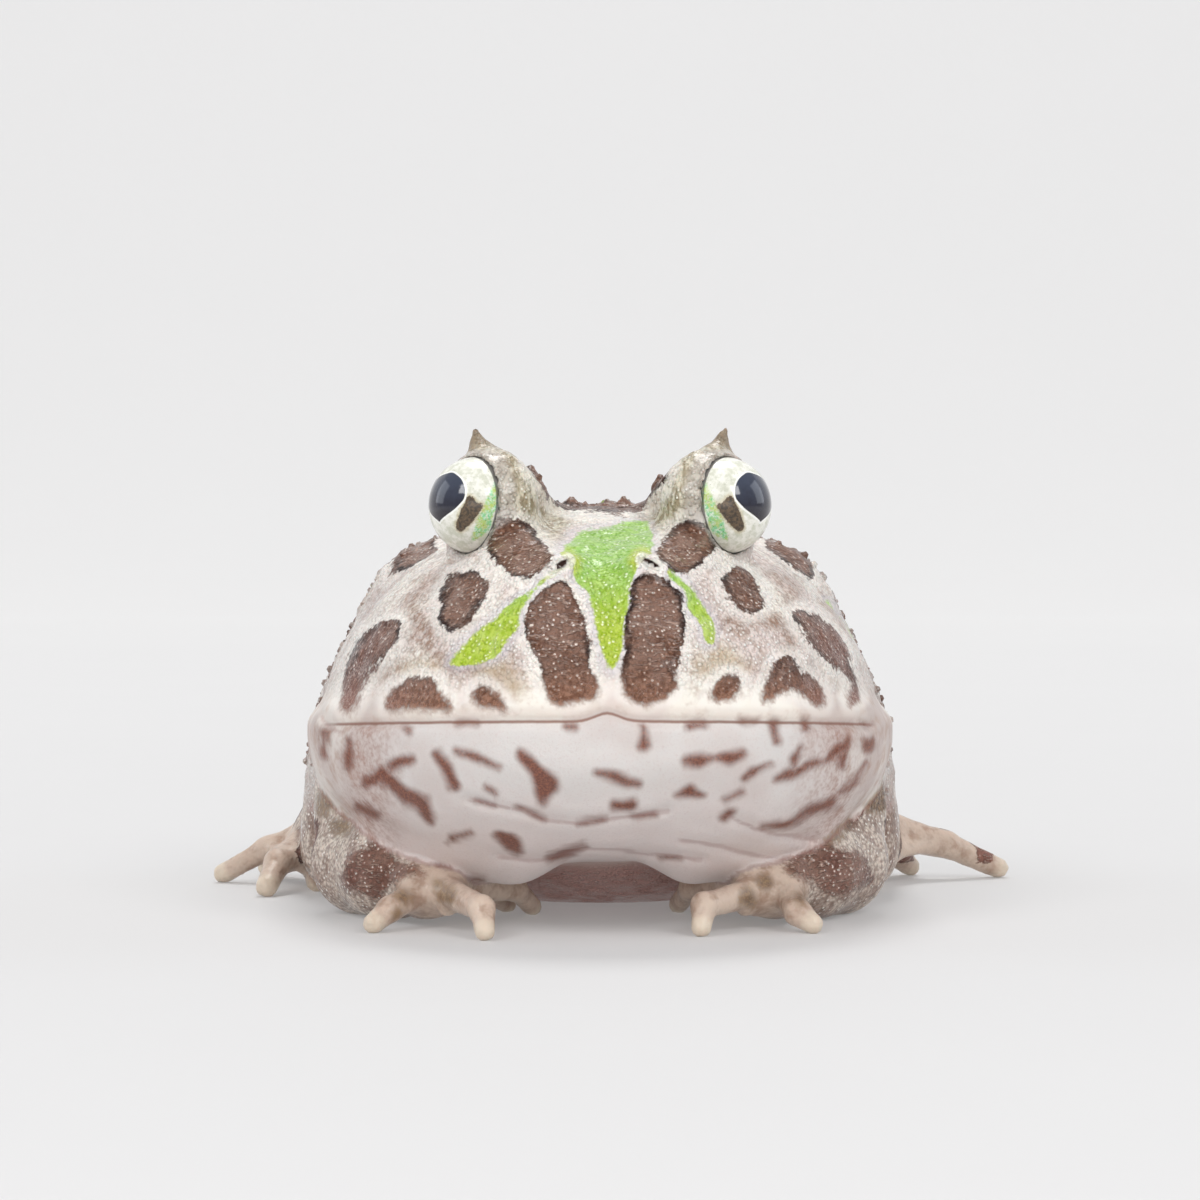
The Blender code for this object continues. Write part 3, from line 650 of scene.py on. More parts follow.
# Soft tan strokes between the blotches, and soft ochre ones above the lip, as they appear.
TAN_STROKES = [
    [(-19.6, 39.8, 0.4), (-21.2, 38.2, 0.7), (-22.1, 36.6, 0.8), (-21.9, 35.3, 0.8), (-20.6, 33.5, 1.1),
        (-22.4, 32.9, 1.3)],
    [(-14.7, 37.1, 0.3), (-15.5, 34.9, 0.6), (-17.2, 33.5, 0.6), (-18.8, 32.7, 0.5)],
    [(-20.2, 31.6, 0.6), (-17.4, 29.1, 0.6), (-14.7, 28.8, 0.6)],
    [(-26.2, 28.6, 0.5), (-24.0, 29.4, 0.5)],
    [(20.2, 40.2, 0.5), (22.7, 38.7, 0.8), (22.4, 37.1, 0.8)],
    [(20.9, 34.5, 0.8), (22.7, 32.4, 1.0), (21.8, 31.2, 0.7)],
    [(14.8, 34.7, 0.4), (17.6, 34.5, 0.6), (20.5, 34.9, 0.6)],
    [(26.4, 36.4, 0.4), (28.4, 33.8, 0.5)],
]
OCHRE_STROKES = [
    [(-14.1, 28.6, 0.8), (-11.8, 28.3, 1.4), (-9.8, 26.9, 0.8)],
    [(12.6, 29.0, 0.8), (14.4, 30.2, 1.4), (16.5, 29.6, 0.7)],
    [(-22.5, 29.2, 0.5), (-19.5, 29.4, 0.6)],
]
# The golden brow beside each eye, given for one side.
BROW_LINE = [(13.8, 55, 1.2), (11.2, 52, 2.4), (9, 49, 2.8), (6.3, 46.4, 1.6)]
# The dark band along the crown's skyline and the patches on the shoulders behind the eyes.
CROWN_BAND = [
    (-8.4, 52.4), (-7.4, 50.8), (-6.2, 49), (-4.6, 47.9), (-2, 47.5), (1, 47.1), (3.6, 47.3), (5, 47.9),
    (6.2, 49), (7.2, 50.4), (8.2, 52.2), (8.4, 56), (-8.6, 56),
]
SHOULDER_PATCHES = [
    [(-24.5, 38.5), (-24.8, 40.6), (-23.5, 43), (-21.2, 44.6), (-19, 44.8), (-19.3, 41.8), (-20.6, 40.4),
        (-22.4, 39.1)],
    [(19.2, 43.5), (20.4, 45.2), (23.4, 44.2), (25, 41.5), (25, 39.3), (23.5, 39.3), (21.8, 40.6),
        (19.8, 41.5)],
]
# Large blotches of the body: the turn and height angle of a ray from the body's middle, half
# length, half width and turn on the skin.
BODY_BLOTCHES = [
    (-67, 41, 5.2, 3.2, 30), (67, 42, 5.0, 3.0, -30), (-90, 27, 7.4, 4.2, 60), (92, 27, 7.6, 4.2, -60),
    (-118, 44, 7.8, 5.4, 10), (116, 46, 8.2, 5.0, -10), (-150, 60, 7.4, 5.4, 40),
    (152, 58, 7.8, 5.2, -30), (3, 66, 6.4, 8.0, 0), (-152, 30, 7.8, 5.2, 0), (150, 30, 7.6, 5.4, 0),
    (90, 50, 3.4, 2.8, 0), (180, 42, 6.4, 5.0, 90), (-122, 17, 6.4, 3.8, 30), (124, 17, 6.6, 3.8, -30),
    (176, 15, 6.0, 4.4, 0), (-96, 6, 5.4, 3.2, 40), (98, 6, 5.6, 3.0, -40), (-84, 64, 5.6, 3.6, 80),
    (86, 66, 5.4, 3.8, 60), (-70, 18, 3.6, 2.0, 70), (72, 20, 3.6, 1.8, -70), (-150, 4, 4.4, 2.8, 0),
    (148, 4, 4.4, 2.8, 0), (-98, -8, 3.6, 2.4, 0), (100, -8, 3.6, 2.2, 0), (178, 76, 4.6, 3.4, 90),
    (-168, 66, 3.4, 2.4, 0), (-104, 30, 2.6, 1.8, 0), (106, 32, 2.6, 1.6, 30), (-136, 16, 2.6, 1.8, 0),
    (138, 14, 2.4, 1.8, 0),
]
BODY_GREEN = [
    (176, 86, 7.4, 2.6, 0), (178, 60, 6.0, 2.6, 0), (-104, 58, 5.6, 2.4, 30), (104, 58, 5.8, 2.4, -30),
    (-134, 44, 5.4, 2.2, 60), (134, 46, 5.4, 2.2, -60), (70, 27, 4.2, 1.3, -40), (-76, 34, 3.6, 1.2, 40),
    (-166, 36, 5.0, 2.2, 80), (166, 36, 5.0, 2.2, -80), (-136, 30, 4.6, 2.0, 30),
    (136, 30, 4.6, 2.0, -30),
]
# The eye's pupil, brown spot and green border: turn outward and rise of the outline, in degrees.
PUPIL = [
    (36.5, 42), (21, 34), (14, 23), (12.8, 14.5), (14, 8), (18.4, 2.8), (26.4, -4.5), (39.7, -11.9),
    (50, -17), (52.6, -20), (55, -17), (66.6, -11.9), (77.3, -5.6), (87, 3), (91, 12), (91, 20), (86, 28),
    (73.6, 36), (54.5, 41), (45, 43),
]
EYE_SPOT = [
    (11, 12.3), (4.6, 12.3), (0.3, 6), (-3.8, 2.8), (-10.2, 3.3), (-6, -5.6), (-0.8, -13), (6, -20.6),
    (14.8, -28.6), (21.9, -32.3), (27.5, -28.6), (26.8, -22.8), (22.5, -15), (18.4, -4.5), (13, 3.8),
]
EYE_LIME = [
    (-26, 31.5), (-28, 23), (-29, 10), (-27, 0), (-20, -10), (-19, -28.6), (-12.6, -36), (6.4, -46),
    (8, -44), (5.4, -34.8), (0.3, -22.8), (-1.8, -11.9), (-8, -0.3), (-12.5, 9), (-18.7, 18.8),
]
# Dark patches on the hidden sides of the arms, given for the +X side: centre and radius.
ARM_BACK = [(32.4, 4.0, 8.0, 3.2), (29.0, 8.0, 14.0, 3.0), (25.0, 4.5, 7.0, 3.0), (33.0, 9.5, 13.0, 2.4)]
# Cross bars of the legs: how far along the limb, and half their width.
LEG_BARS = {
    "thigh": [(0.3, 3.0), (0.72, 3.0)],
    "shank": [(0.16, 2.4), (0.56, 2.8), (0.9, 1.8)],
    "foot": [(0.25, 1.7), (0.9, 1.2)],
}


def rounded(outline, rounds=2):
    """A smoother outline, its corners cut rounds times."""
    rows = np.array(outline, float)
    for _ in range(rounds):
        after = np.roll(rows, -1, axis=0)
        pairs = np.stack([rows * 0.78 + after * 0.22, rows * 0.22 + after * 0.78], 1)
        rows = pairs.reshape(-1, 2)
    return rows


def inside_outline(across, up, outline, margin=4.0):
    """Distance inside a closed outline on the seen plane, negative outside."""
    rows = rounded(outline)
    out = np.full(len(across), -margin)
    near = np.flatnonzero(
        (across > rows[:, 0].min() - margin)
        & (across < rows[:, 0].max() + margin)
        & (up > rows[:, 1].min() - margin)
        & (up < rows[:, 1].max() + margin)
    )
    x = across[near]
    z = up[near]
    far = np.full(len(near), 1e9)
    within = np.zeros(len(near), bool)
    for (ax, az), (bx, bz) in zip(rows, np.roll(rows, -1, axis=0)):
        dx, dz = bx - ax, bz - az
        t = np.clip(((x - ax) * dx + (z - az) * dz) / (dx * dx + dz * dz + 1e-12), 0.0, 1.0)
        far = np.minimum(far, np.hypot(x - ax - t * dx, z - az - t * dz))
        if az != bz:
            crosses = ((az > z) != (bz > z)) & (x < dx * (z - az) / dz + ax)
            within ^= crosses
    out[near] = np.where(within, far, -far)
    return out


def on_body(turn, rise):
    """The place on the body that a ray from its middle meets, and the outward direction."""
    a = math.radians(turn)
    b = math.radians(rise)
    ray = np.array([math.sin(a) * math.cos(b), -math.cos(a) * math.cos(b), math.sin(b)])
    start = np.array([0.0, 22.0, 18.0])
    steps = np.arange(4.0, 60.0, 0.1)
    line = start + steps[:, None] * ray
    far = core_form(tuple(line.T))
    at = line[np.argmax(far > 0)]
    nudge = 0.3
    slope = [core_form(tuple((at + nudge * np.eye(3)[i])[:, None])) for i in range(3)]
    here = core_form(tuple(at[:, None]))
    normal = np.array([s[0] - here[0] for s in slope])
    return at, normal / np.linalg.norm(normal)


def inside_oval(points, turn, rise, long, wide, angle):
    """Distance inside an oval that lies on the body's skin."""
    at, normal = on_body(turn, rise)
    first = np.cross(normal, (0.0, 1.0, 0.0))
    first = first / np.linalg.norm(first)
    second = np.cross(normal, first)
    a = math.radians(angle)
    rows = (first * math.cos(a) + second * math.sin(a), second * math.cos(a) - first * math.sin(a))
    d = points - at
    u = d @ rows[0] / wide
    v = d @ rows[1] / long
    w = d @ normal / (2.5 * wide)
    return (1.0 - np.sqrt(u * u + v * v + w * w)) * wide


def wandered(points):
    """Places moved about softly, so that shapes laid out on them come out uneven."""
    large = np.array([noise.noise_vector(Vector(row)) for row in points / 8.5])
    small = np.array([noise.noise_vector(Vector(row)) for row in points / 3.2 + 5.0])
    return points + WANDER_LARGE * large + WANDER_SMALL * small


def wart_tops(points, size, wide):
    """From 0 to 1 on rounded warts, where loose cells of a size meet the skin."""
    far = np.array([noise.voronoi(Vector(row))[0][0] for row in points / size])
    return np.maximum(0.0, 1.0 - far / wide)


def leg_bars(p, name, side, shape):
    """Distance inside the dark cross bars of one leg part."""
    kind = name.split("_")[0]
    stations = shape["sole"] if isinstance(shape, dict) else shape
    out = np.full(len(p[0]), -9.0)
    for share, width in LEG_BARS[kind]:
        x, y, z, _ = along(stations, share)
        x2, y2, z2, _ = along(stations, min(share + 0.05, 1.0))
        d = np.array([x2 - x, y2 - y, z2 - z])
        d = d / np.linalg.norm(d)
        here = (p[0] * side - x) * d[0] + (p[1] - y) * d[1] + (p[2] - z) * d[2]
        out = np.maximum(out, width - np.abs(here))
    return out


def markings(points, normals):
    """What the skin carries at each corner: distances inside its marks, and soft masks."""
    p = tuple(points.T)
    x, y, z = p
    q = (np.abs(x), y, z)
    across, up = seen(p)
    stir = np.array([noise.noise_vector(Vector(row)) for row in points / 2.6 + 3.0])
    across = across + STIR * stir[:, 0]
    up = up + STIR * stir[:, 2]
    _, claims = skin_form(p)
    core = claims["core"]
    groups = {"arm": ("upper", "fore", "hand"), "leg": ("thigh", "shank", "foot")}
    near = {}
    for group, words in groups.items():
        near[group] = np.min([v for n, v in claims.items() if n.startswith(words)], axis=0)
    # How far a place lies inside the arms, the legs or the rest of the body.
    in_arm = np.minimum(core, near["leg"]) - near["arm"]
    in_leg = np.minimum(core, near["arm"]) - near["leg"]
    in_core = np.minimum(near["arm"], near["leg"]) - core
    toward = np.stack([-x, -VIEW_FAR - y, VIEW_HIGH - z], 1)
    toward = toward / np.linalg.norm(toward, axis=1, keepdims=True)
    front = (normals * toward).sum(1) * 12.0
    lip = z - mouth_height(x, y)
    neck_line = NECK_LINE - 4.0 * (x / HEAD_HALF_WIDTH) ** 2 - 0.78 * np.maximum(HEAD_LEVEL - z, 0.0)
    ahead = neck_line - y

    # The head's marks end at its neck, and its blotches before the back.
    blotch = deepest((inside_outline(across, up, row) for row in BLOTCHES_HEAD.values()), OUTSIDE)
    green = deepest((inside_outline(across, up, row) for row in GREEN_HEAD.values()), OUTSIDE)
    green = np.maximum(green, inside_line(across, up, GREEN_LINE))
    side_green = np.minimum(inside_line(across, up, GREEN_SIDE), np.minimum(y - 1.0, 0.4 * (9.0 - y)))
    face = np.minimum(np.minimum(lip - 0.1, ahead + 1.0), front)
    before_back = -3.0 - y + 2.0 * np.maximum(44.0 - z, 0.0)
    blotch = np.minimum(blotch, np.minimum(face, before_back))
    green = np.minimum(green, face)

    # The marks of the body, the crown's band and the patches on the shoulders.
    moved = wandered(points)
    body = np.minimum(deepest((inside_oval(moved, *row) for row in BODY_BLOTCHES), OUTSIDE), 2.0 - ahead)
    fresh = np.minimum(deepest((inside_oval(moved, *row) for row in BODY_GREEN), OUTSIDE), 1.0 - ahead)
    band = inside_outline(across, up, CROWN_BAND)
    for outline in SHOULDER_PATCHES:
        patch = np.minimum(inside_outline(across, up, outline), 0.5 * (moved[:, 1] - 2.0))
        band = np.maximum(band, np.minimum(patch, 0.5 * (SHOULDER_END - moved[:, 1])))
    band = np.minimum(band, 0.5 * (CROWN_END - moved[:, 1]))
    body = np.maximum(body, np.minimum(band, front + 3.0))
    blotch = np.minimum(np.maximum(blotch, body), in_core)
    green = np.minimum(np.maximum(green, np.minimum(fresh, -0.8 - body)), in_core)
    green = np.maximum(green, side_green)

    # Patches and dots of the arms, and bars of the legs.
    arms = deepest((inside_outline(across, up, row) for row in BLOTCHES_ARM.values()), OUTSIDE)
    arms = np.minimum(arms, front + 1.0)
    smudge = deepest((size - np.hypot(across - ax, up - az) for ax, az, size in ARM_DOTS), -4.0)
    smudge = np.minimum(np.minimum(smudge, front + 1.0), in_arm + 0.5)
    loose = tuple(moved.T)
    for ax, ay, az, size in ARM_BACK:
        arms = np.maximum(arms, -ball((np.abs(loose[0]), loose[1], loose[2]), (ax, ay, az), size))
    blotch = np.maximum(blotch, np.minimum(arms, in_arm))
    bars = np.full(len(x), OUTSIDE)
    for name, side, shape in LIMBS:
        if name.startswith(("thigh", "shank", "foot")):
            own = claims[name] - near["leg"]
            bars = np.maximum(bars, np.minimum(leg_bars(loose, name, side, shape), 0.6 - own))
    bars = np.minimum(bars, 2.2 * (z - 2.0))
    blotch = np.maximum(blotch, np.minimum(bars, in_leg))

    # Streaks of the throat, each thin at its ends.
    streak = np.full(len(x), -3.0)
    for stations in THROAT_STREAKS:
        slim = [(a, b, 0.8 * w) for a, b, w in stations]
        slim[1:-1] = [(a, b, 1.05 * w) for a, b, w in stations[1:-1]]
        streak = np.maximum(streak, inside_line(across, up, slim))
    streak = np.minimum(np.minimum(streak, 0.5 - lip), np.minimum(in_core, front))

    # Soft clouds and masks.
    tan = deepest((inside_line(across, up, row) for row in TAN_STROKES), -4.0)
    ochre = deepest((inside_line(across, up, row) for row in OCHRE_STROKES), -4.0)
    slit = deepest((inside_line(across, up, row) for row in SLITS), -9.0)
    corner = 1.0 - step(np.abs(across), 27.0, 32.0)
    uneven_ahead = ahead + 1.6 * (y - moved[:, 1])
    smooth = step(-lip, -0.9, 0.5) * step(in_core, -0.3, 0.3) * step(uneven_ahead, -7.0, 7.0)
    smooth = np.clip(smooth * (0.25 + 0.75 * corner), 0.0, 1.0)
    lips = (1.0 - step(lip, 1.6, 6.5)) * step(ahead, -3.0, 3.0) * step(in_core, -0.3, 0.3)
    fold = np.where(y < -4.0, np.minimum(creases(across, up), front), -3.0)
    tips = np.zeros(len(x))
    for name, side, shape in LIMBS:
        for toe in TOES:
            if not isinstance(shape, dict) or toe not in shape:
                continue
            tx, ty, tz, size = grounded(shape[toe])[-1]
            far = ball((x * side, y, z), (tx, ty, tz), 0.0)
            tips = np.maximum(tips, (1.0 - step(far, 0.7 * size, 2.2 * size)))
    eye = ball(q, (EYE_SIDE, EYE_DEPTH, EYE_LEVEL), EYE_RADIUS)
    horn = taper(q, HORN_ROOT, HORN_TIP, 2.0, 0.3)
    brow = ball(q, (10.8, -9.0, 50.4), 4.4)
    gold = np.minimum(inside_line(np.abs(across), up, BROW_LINE), np.minimum(front + 1.0, -1.0 - y))
    ends = np.min([v for n, v in claims.items() if n.startswith(("hand", "foot"))], axis=0)
    rest = np.min([v for n, v in claims.items() if not n.startswith(("hand", "foot"))], axis=0)
    warty = step(-ahead, -6.0, 4.0) * step(z, 8.0, 20.0) * step(in_core, 0.5, 3.0)
    warty = np.maximum(warty, 0.9 * step(-brow, -2.5, 0.0) * step(normals[:, 2], 0.0, 0.5))
    warty = warty * step(eye, 1.0, 2.5) * step(horn, 0.6, 2.0)
    return {
        "blotch": blotch,
        "green": green,
        "streak": streak,
        "fold": fold,
        "lip": lip,
        "front_lip": before_corner(across, y),
        "slit": np.where(y < -20.0, slit, -4.0),
        "smooth": smooth,
        "calm": np.maximum(smooth, lips),
        "flank": step(np.abs(across), 21.0, 29.0),
        "back": step(-ahead, -3.0, 4.0),
        "tan": np.minimum(tan, face),
        "ochre": np.minimum(ochre, face),
        "chest": step(ahead, 6.0, -2.0) * (1.0 - step(z, 6.0, 14.0)) * step(in_core, -0.3, 0.3),
        "limb": step(np.maximum(in_arm, in_leg), -0.4, 0.4),
        "hand": step(rest - ends, -0.6, 0.8),
        "smudge": smudge,
        "tips": tips,
        "lid": eye,
        "horn": horn,
        "gold": np.minimum(gold, in_core),
        "warty": np.clip(warty, 0.0, 1.0),
    }


# Materials


class Value:
    """A number or colour that a material works out, with plain arithmetic."""

    def __init__(self, look, socket):
        self.look = look
        self.socket = socket

    def maths(self, kind, other=None, swap=False):
        pair = [self, other] if not swap else [other, self]
        inputs = {i: v for i, v in enumerate(pair) if v is not None}
        return self.look.node("ShaderNodeMath", {"operation": kind}, inputs)

    def __add__(self, other):
        return self.maths("ADD", other)

    def __sub__(self, other):
        return self.maths("SUBTRACT", other)

    def __rsub__(self, other):
        return self.maths("SUBTRACT", other, True)

    def __mul__(self, other):
        return self.maths("MULTIPLY", other)

    def __truediv__(self, other):
        return self.maths("DIVIDE", other)

    def least(self, other):
        return self.maths("MINIMUM", other)

    def most(self, other):
        return self.maths("MAXIMUM", other)

    def size(self):
        return self.maths("ABSOLUTE")

    def between(self, low, high):
        """Go softly from 0 at low to 1 at high."""
        settings = {"interpolation_type": "SMOOTHSTEP"}
        return self.look.node("ShaderNodeMapRange", settings, {0: self, 1: low, 2: high})

    def painted(self, share, red, green, blue):
        """This colour with a share of another laid over it."""
        return self.look.mix(share, self, colour(red, green, blue))

    def tones(self, low, high, first, second):
        """The first colour at low and the second at high, with soft steps between."""
        return self.look.mix(self.between(low, high), colour(*first), colour(*second))

    __radd__ = __add__
    __rmul__ = __mul__


class Look:
    """One material in the making."""

    def __init__(self, name):
        self.material = bpy.data.materials.new(name)
        self.material.use_nodes = True
        self.tree = self.material.node_tree
        self.shader = self.tree.nodes["Principled BSDF"]
        self.place = self.node("ShaderNodeTexCoord", {}, {}, "Object")
        self.place = self.node("ShaderNodeVectorMath", {"operation": "SCALE"}, {0: self.place, 3: 1.0 / MM})

    def node(self, kind, settings, inputs, output=0):
        """Add a node, and give one of its results."""
        made = self.tree.nodes.new(kind)
        for name, value in settings.items():
            setattr(made, name, value)
        for name, value in inputs.items():
            if isinstance(value, Value):
                self.tree.links.new(value.socket, made.inputs[name])
            else:
                made.inputs[name].default_value = value
        return Value(self, made.outputs[output])

    def carried(self, name):
        """A number that the mesh carries at each corner."""
        return self.node("ShaderNodeAttribute", {"attribute_name": name}, {}, "Fac")

    def cloud(self, size, detail=2.0, rough=0.5, twist=0.0):
        """Soft noise from 0 to 1 whose lumps are about size millimetres."""
        inputs = {"Vector": self.place, "Scale": 1.0 / size, "Detail": detail}
        inputs.update({"Roughness": rough, "Distortion": twist})
        return self.node("ShaderNodeTexNoise", {}, inputs)

    def stretched_cloud(self, stretch, scale, detail, twist=0.0):
        """Soft noise of a scale, drawn together along each axis by stretch."""
        place = self.node("ShaderNodeVectorMath", {"operation": "MULTIPLY"}, {0: self.place, 1: stretch})
        inputs = {"Vector": place, "Scale": scale, "Detail": detail, "Distortion": twist}
        return self.node("ShaderNodeTexNoise", {}, inputs)

    def cells(self, size, feature="F1"):
        """Distance from the middles, or the edges, of cells about size millimetres apart."""
        inputs = {"Vector": self.place, "Scale": 1.0 / size, "Randomness": 1.0}
        return self.node("ShaderNodeTexVoronoi", {"feature": feature}, inputs, "Distance")

    def mix(self, share, a, b):
        """Go from colour a to colour b by share."""
        return self.node("ShaderNodeMix", {"data_type": "RGBA"}, {0: share, 6: a, 7: b}, 2)

    def relief(self, height, depth):
        """Raise the surface by height, times depth in millimetres."""
        return self.node("ShaderNodeBump", {}, {"Height": height, "Distance": depth * MM, "Strength": 1.0})

    def set(self, name, value):
        """Give the shader one of its inputs."""
        if isinstance(value, Value):
            self.tree.links.new(value.socket, self.shader.inputs[name])
        else:
            self.shader.inputs[name].default_value = value


def colour(red, green, blue):
    """A colour from its display values of 0 to 255."""
    rows = []
    for c in (red, green, blue):
        c = c / 255.0
        rows.append(c / 12.92 if c <= 0.04045 else ((c + 0.055) / 1.055) ** 2.4)
    return (*rows, 1.0)


def skin_look():
    """Damp granular skin with dark-rimmed brown blotches, green patches and a smooth throat."""
    look = Look("frog_skin")
    blotch, green, lip, front_lip = map(look.carried, ("blotch", "green", "lip", "front_lip"))
    smooth, calm, flank, back = map(look.carried, ("smooth", "calm", "flank", "back"))
    limbs, lid, slit, palms = map(look.carried, ("limb", "lid", "slit", "hand"))
    # Noise of several sizes, and the grain: domes, the valleys between them, where shade is painted, and the
    # painted glints on the domes.
    wide = look.cloud(9.0, 2.0)
    patchy = look.cloud(4.0, 1.0).between(0.4, 0.6)
    medium = look.cloud(2.4, 3.0, 0.6)
    fine = look.cloud(0.6, 3.0, 0.65)
    dust = look.cloud(0.25, 2.0, 0.6)
    grain = look.cells(0.58)
    pebble = look.cells(1.5)
    net = look.cells(0.62, "DISTANCE_TO_EDGE")
    rough_skin = (1.0 - calm) * (1.0 - palms * 0.75)
    dome = 1.0 - (grain * grain * 3.0).least(1.0)
    valley = 1.0 - dome
    glint = (dome + (fine - 0.5) * 0.9).between(0.77, 0.98) * medium.between(0.36, 0.54) * rough_skin

    def uneven(name, stir, low, high):
        """Go from 0 at low to 1 at high in what the skin carries, with an uneven edge."""
        return (look.carried(name) + (medium - 0.5) * stir).between(low, high)

    # Plain skin: cream on the head, grey on the back, brown and granular on the limbs.
    base = wide.tones(0.4, 0.6, (244, 238, 228), (224, 211, 205))
    grey = wide.tones(0.4, 0.6, (200, 190, 186), (168, 153, 148))
    base = look.mix(back.most(flank * 0.7) * 0.85, base, grey)
    base = base.painted(medium.between(0.48, 0.68) * 0.5, 180, 152, 132)
    # Painted shade in the valleys between the granules, and painted glints on the granules.
    base = base.painted(valley * fine.between(0.4, 0.6) * rough_skin * 0.45, 132, 98, 78)
    base = base.painted(glint * 0.9, 255, 254, 250)
    arm = (wide * 0.5 + medium * 0.5).tones(0.38, 0.62, (226, 213, 200), (140, 108, 90))
    arm = arm.painted(medium.between(0.46, 0.66) * 0.4, 122, 92, 74)
    # Painted shade in the valleys between the granules of the arms, and painted glints.
    arm = arm.painted(valley * fine.between(0.36, 0.56) * 0.6, 88, 62, 50)
    arm = arm.painted(glint * 0.9, 250, 246, 240)
    palm = medium.tones(0.4, 0.7, (204, 182, 164), (166, 137, 118))
    base = look.mix(limbs * 0.85, base, look.mix(palms, arm, palm))
    # Golden brows, and soft tan and ochre clouds between the blotches.
    wrinkle = look.stretched_cloud((1.9, 1.0, 0.7), 0.9, 3.0)
    gold = wrinkle.tones(0.4, 0.6, (142, 128, 96), (212, 204, 182))
    gold = gold.painted(glint * 0.8, 250, 247, 236)
    base = look.mix(uneven("gold", 1.2, -2.0, 0.2) * 0.88, base, gold)
    mottle = uneven("tan", 2.0, -1.2, 0.9)
    base = base.painted(mottle * (0.35 + fine.between(0.35, 0.65) * 0.5), 140, 106, 84)
    base = base.painted(uneven("ochre", 1.4, -1.6, 1.2) * 0.6, 176, 148, 108)

    # The smooth white throat, tan at its sides, with painted light that makes it paler and pinker low down.
    low = (lip * -1.0).between(5.0, 15.0)
    white = wide.tones(0.35, 0.7, (217, 212, 209), (208, 198, 194))
    # Painted light: paler and pinker the further the throat lies under the lip.
    white = white.painted(low * 0.8, 230, 217, 213)
    white = white.painted(flank * (0.24 + medium.between(0.4, 0.7) * 0.5), 160, 118, 102)
    # Painted shade in the valleys between the granules of the throat's sides.
    white = white.painted(flank * valley * fine.between(0.4, 0.6) * 0.4, 150, 106, 90)
    white = white.painted(dust.between(0.5, 0.75) * 0.2, 190, 160, 156)
    base = look.mix(smooth, base, white)

    # Brown blotches with dark rims and pale halos, rippled and granular inside.
    ragged = blotch + (medium - 0.5) * 1.3 + (fine - 0.5) * 0.9
    soft = 0.16 + (1.0 - lip.between(1.5, 7.0)) * front_lip * 0.45
    inside = (ragged / soft).between(-1.0, 1.0)
    halo = uneven("blotch", 0.8, -1.7, -0.7) * (1.0 - smooth) * (1.0 - limbs)
    base = base.painted(halo * 0.5, 246, 241, 234)
    base = base.painted(uneven("green", 1.2, -1.3, -0.2) * 0.4, 206, 202, 212)
    waves = look.stretched_cloud((0.8, 0.8, 2.2), 1.25, 2.0, 0.2)
    crest = waves.between(0.5, 0.66)
    crust = (lip.between(3.0, 7.0) * (1.0 - flank)).most(limbs)
    centre = fine.tones(0.35, 0.65, (110, 72, 53), (157, 116, 95))
    centre = centre.painted(flank * 0.6, 136, 92, 84)
    # Painted shade in the valleys between the granules of the blotches.
    centre = centre.painted(valley * 0.5 * rough_skin, 58, 32, 24)
    centre = centre.painted(patchy * crust * 0.4, 160, 130, 116)
    # Pale crests on the ripples: partly the skin's own pale wrinkles, partly painted light on their tops.
    centre = centre.painted(crest * crust * 0.6, 184, 156, 142)
    lines = (1.0 - net.between(0.02, 0.1)) * (1.0 - crust) * medium.between(0.35, 0.55)
    centre = centre.painted(lines * (0.15 + flank * 0.4), 200, 172, 162)
    centre = centre.painted(glint * 0.8, 236, 226, 218)
    ring = 1.0 - (ragged - (wide - 0.5) * 1.8).between(0.1, 0.9)
    ring = ring * (0.15 + lip.between(2.0, 8.0).most(back) * (0.25 + patchy * 0.6))
    brown = look.mix(ring, centre, colour(44, 22, 16))
    skin = look.mix(inside, base, brown)

    # Green patches, more yellow low down and at the nostrils.
    leaf = (green + (medium - 0.5) * 0.7 + (fine - 0.5) * 0.6).between(-0.2, 0.2)
    mint = fine.tones(0.35, 0.65, (138, 188, 78), (186, 224, 136))
    lime = fine.tones(0.35, 0.65, (166, 192, 38), (206, 222, 96))
    fresh = look.mix((lip + (medium - 0.5) * 6.0).between(9.0, 18.0), lime, mint)
    # Painted shade in the valleys between the granules of the green patches.
    fresh = fresh.painted(valley * 0.3, 120, 156, 30)
    fresh = fresh.painted(slit.between(-2.2, -0.4) * 0.6, 206, 204, 44)
    fresh = fresh.painted(glint * 0.75, 240, 250, 220)
    skin = look.mix(leaf, skin, fresh)

    # The rust streaks, painted shade in the creases of the throat, and the line of the mouth.
    rust = dust.tones(0.35, 0.7, (96, 44, 24), (136, 74, 48))
    skin = look.mix(uneven("streak", 0.7, -0.75, 0.5) * 0.92, skin, rust)
    crease = 1.0 - (look.carried("fold") * -1.0).between(0.05, 0.4)
    skin = skin.painted(crease * 0.35, 160, 118, 112)

    seam = (1.0 - (lip + (medium - 0.5) * 0.15).size().between(0.04, 0.28)) * front_lip
    skin = skin.painted(seam * 0.85, 134, 90, 74)
    ledge = (1.0 - (lip - 0.9).size().between(0.3, 1.0)) * front_lip
    skin = skin.painted(ledge * 0.4, 222, 208, 198)

    # Horns, warts, the lids' pale edges, painted shade where the lids meet the eyeball, and the nostrils'
    # pale rims with painted shade in their slits.
    tan = 1.0 - look.carried("horn").between(0.1, 1.6)
    skin = look.mix(tan * 0.9, skin, look.mix(fine, colour(98, 80, 62), colour(168, 150, 126)))
    wart = look.carried("wart") * look.carried("warty")
    skin = skin.painted(wart.between(0.1, 0.8) * 0.55, 112, 86, 72)
    pale_lid = (1.0 - lid.between(0.7, 1.3)) * lip.between(0.0, 1.0)
    skin = skin.painted(pale_lid * 0.6, 186, 178, 172)
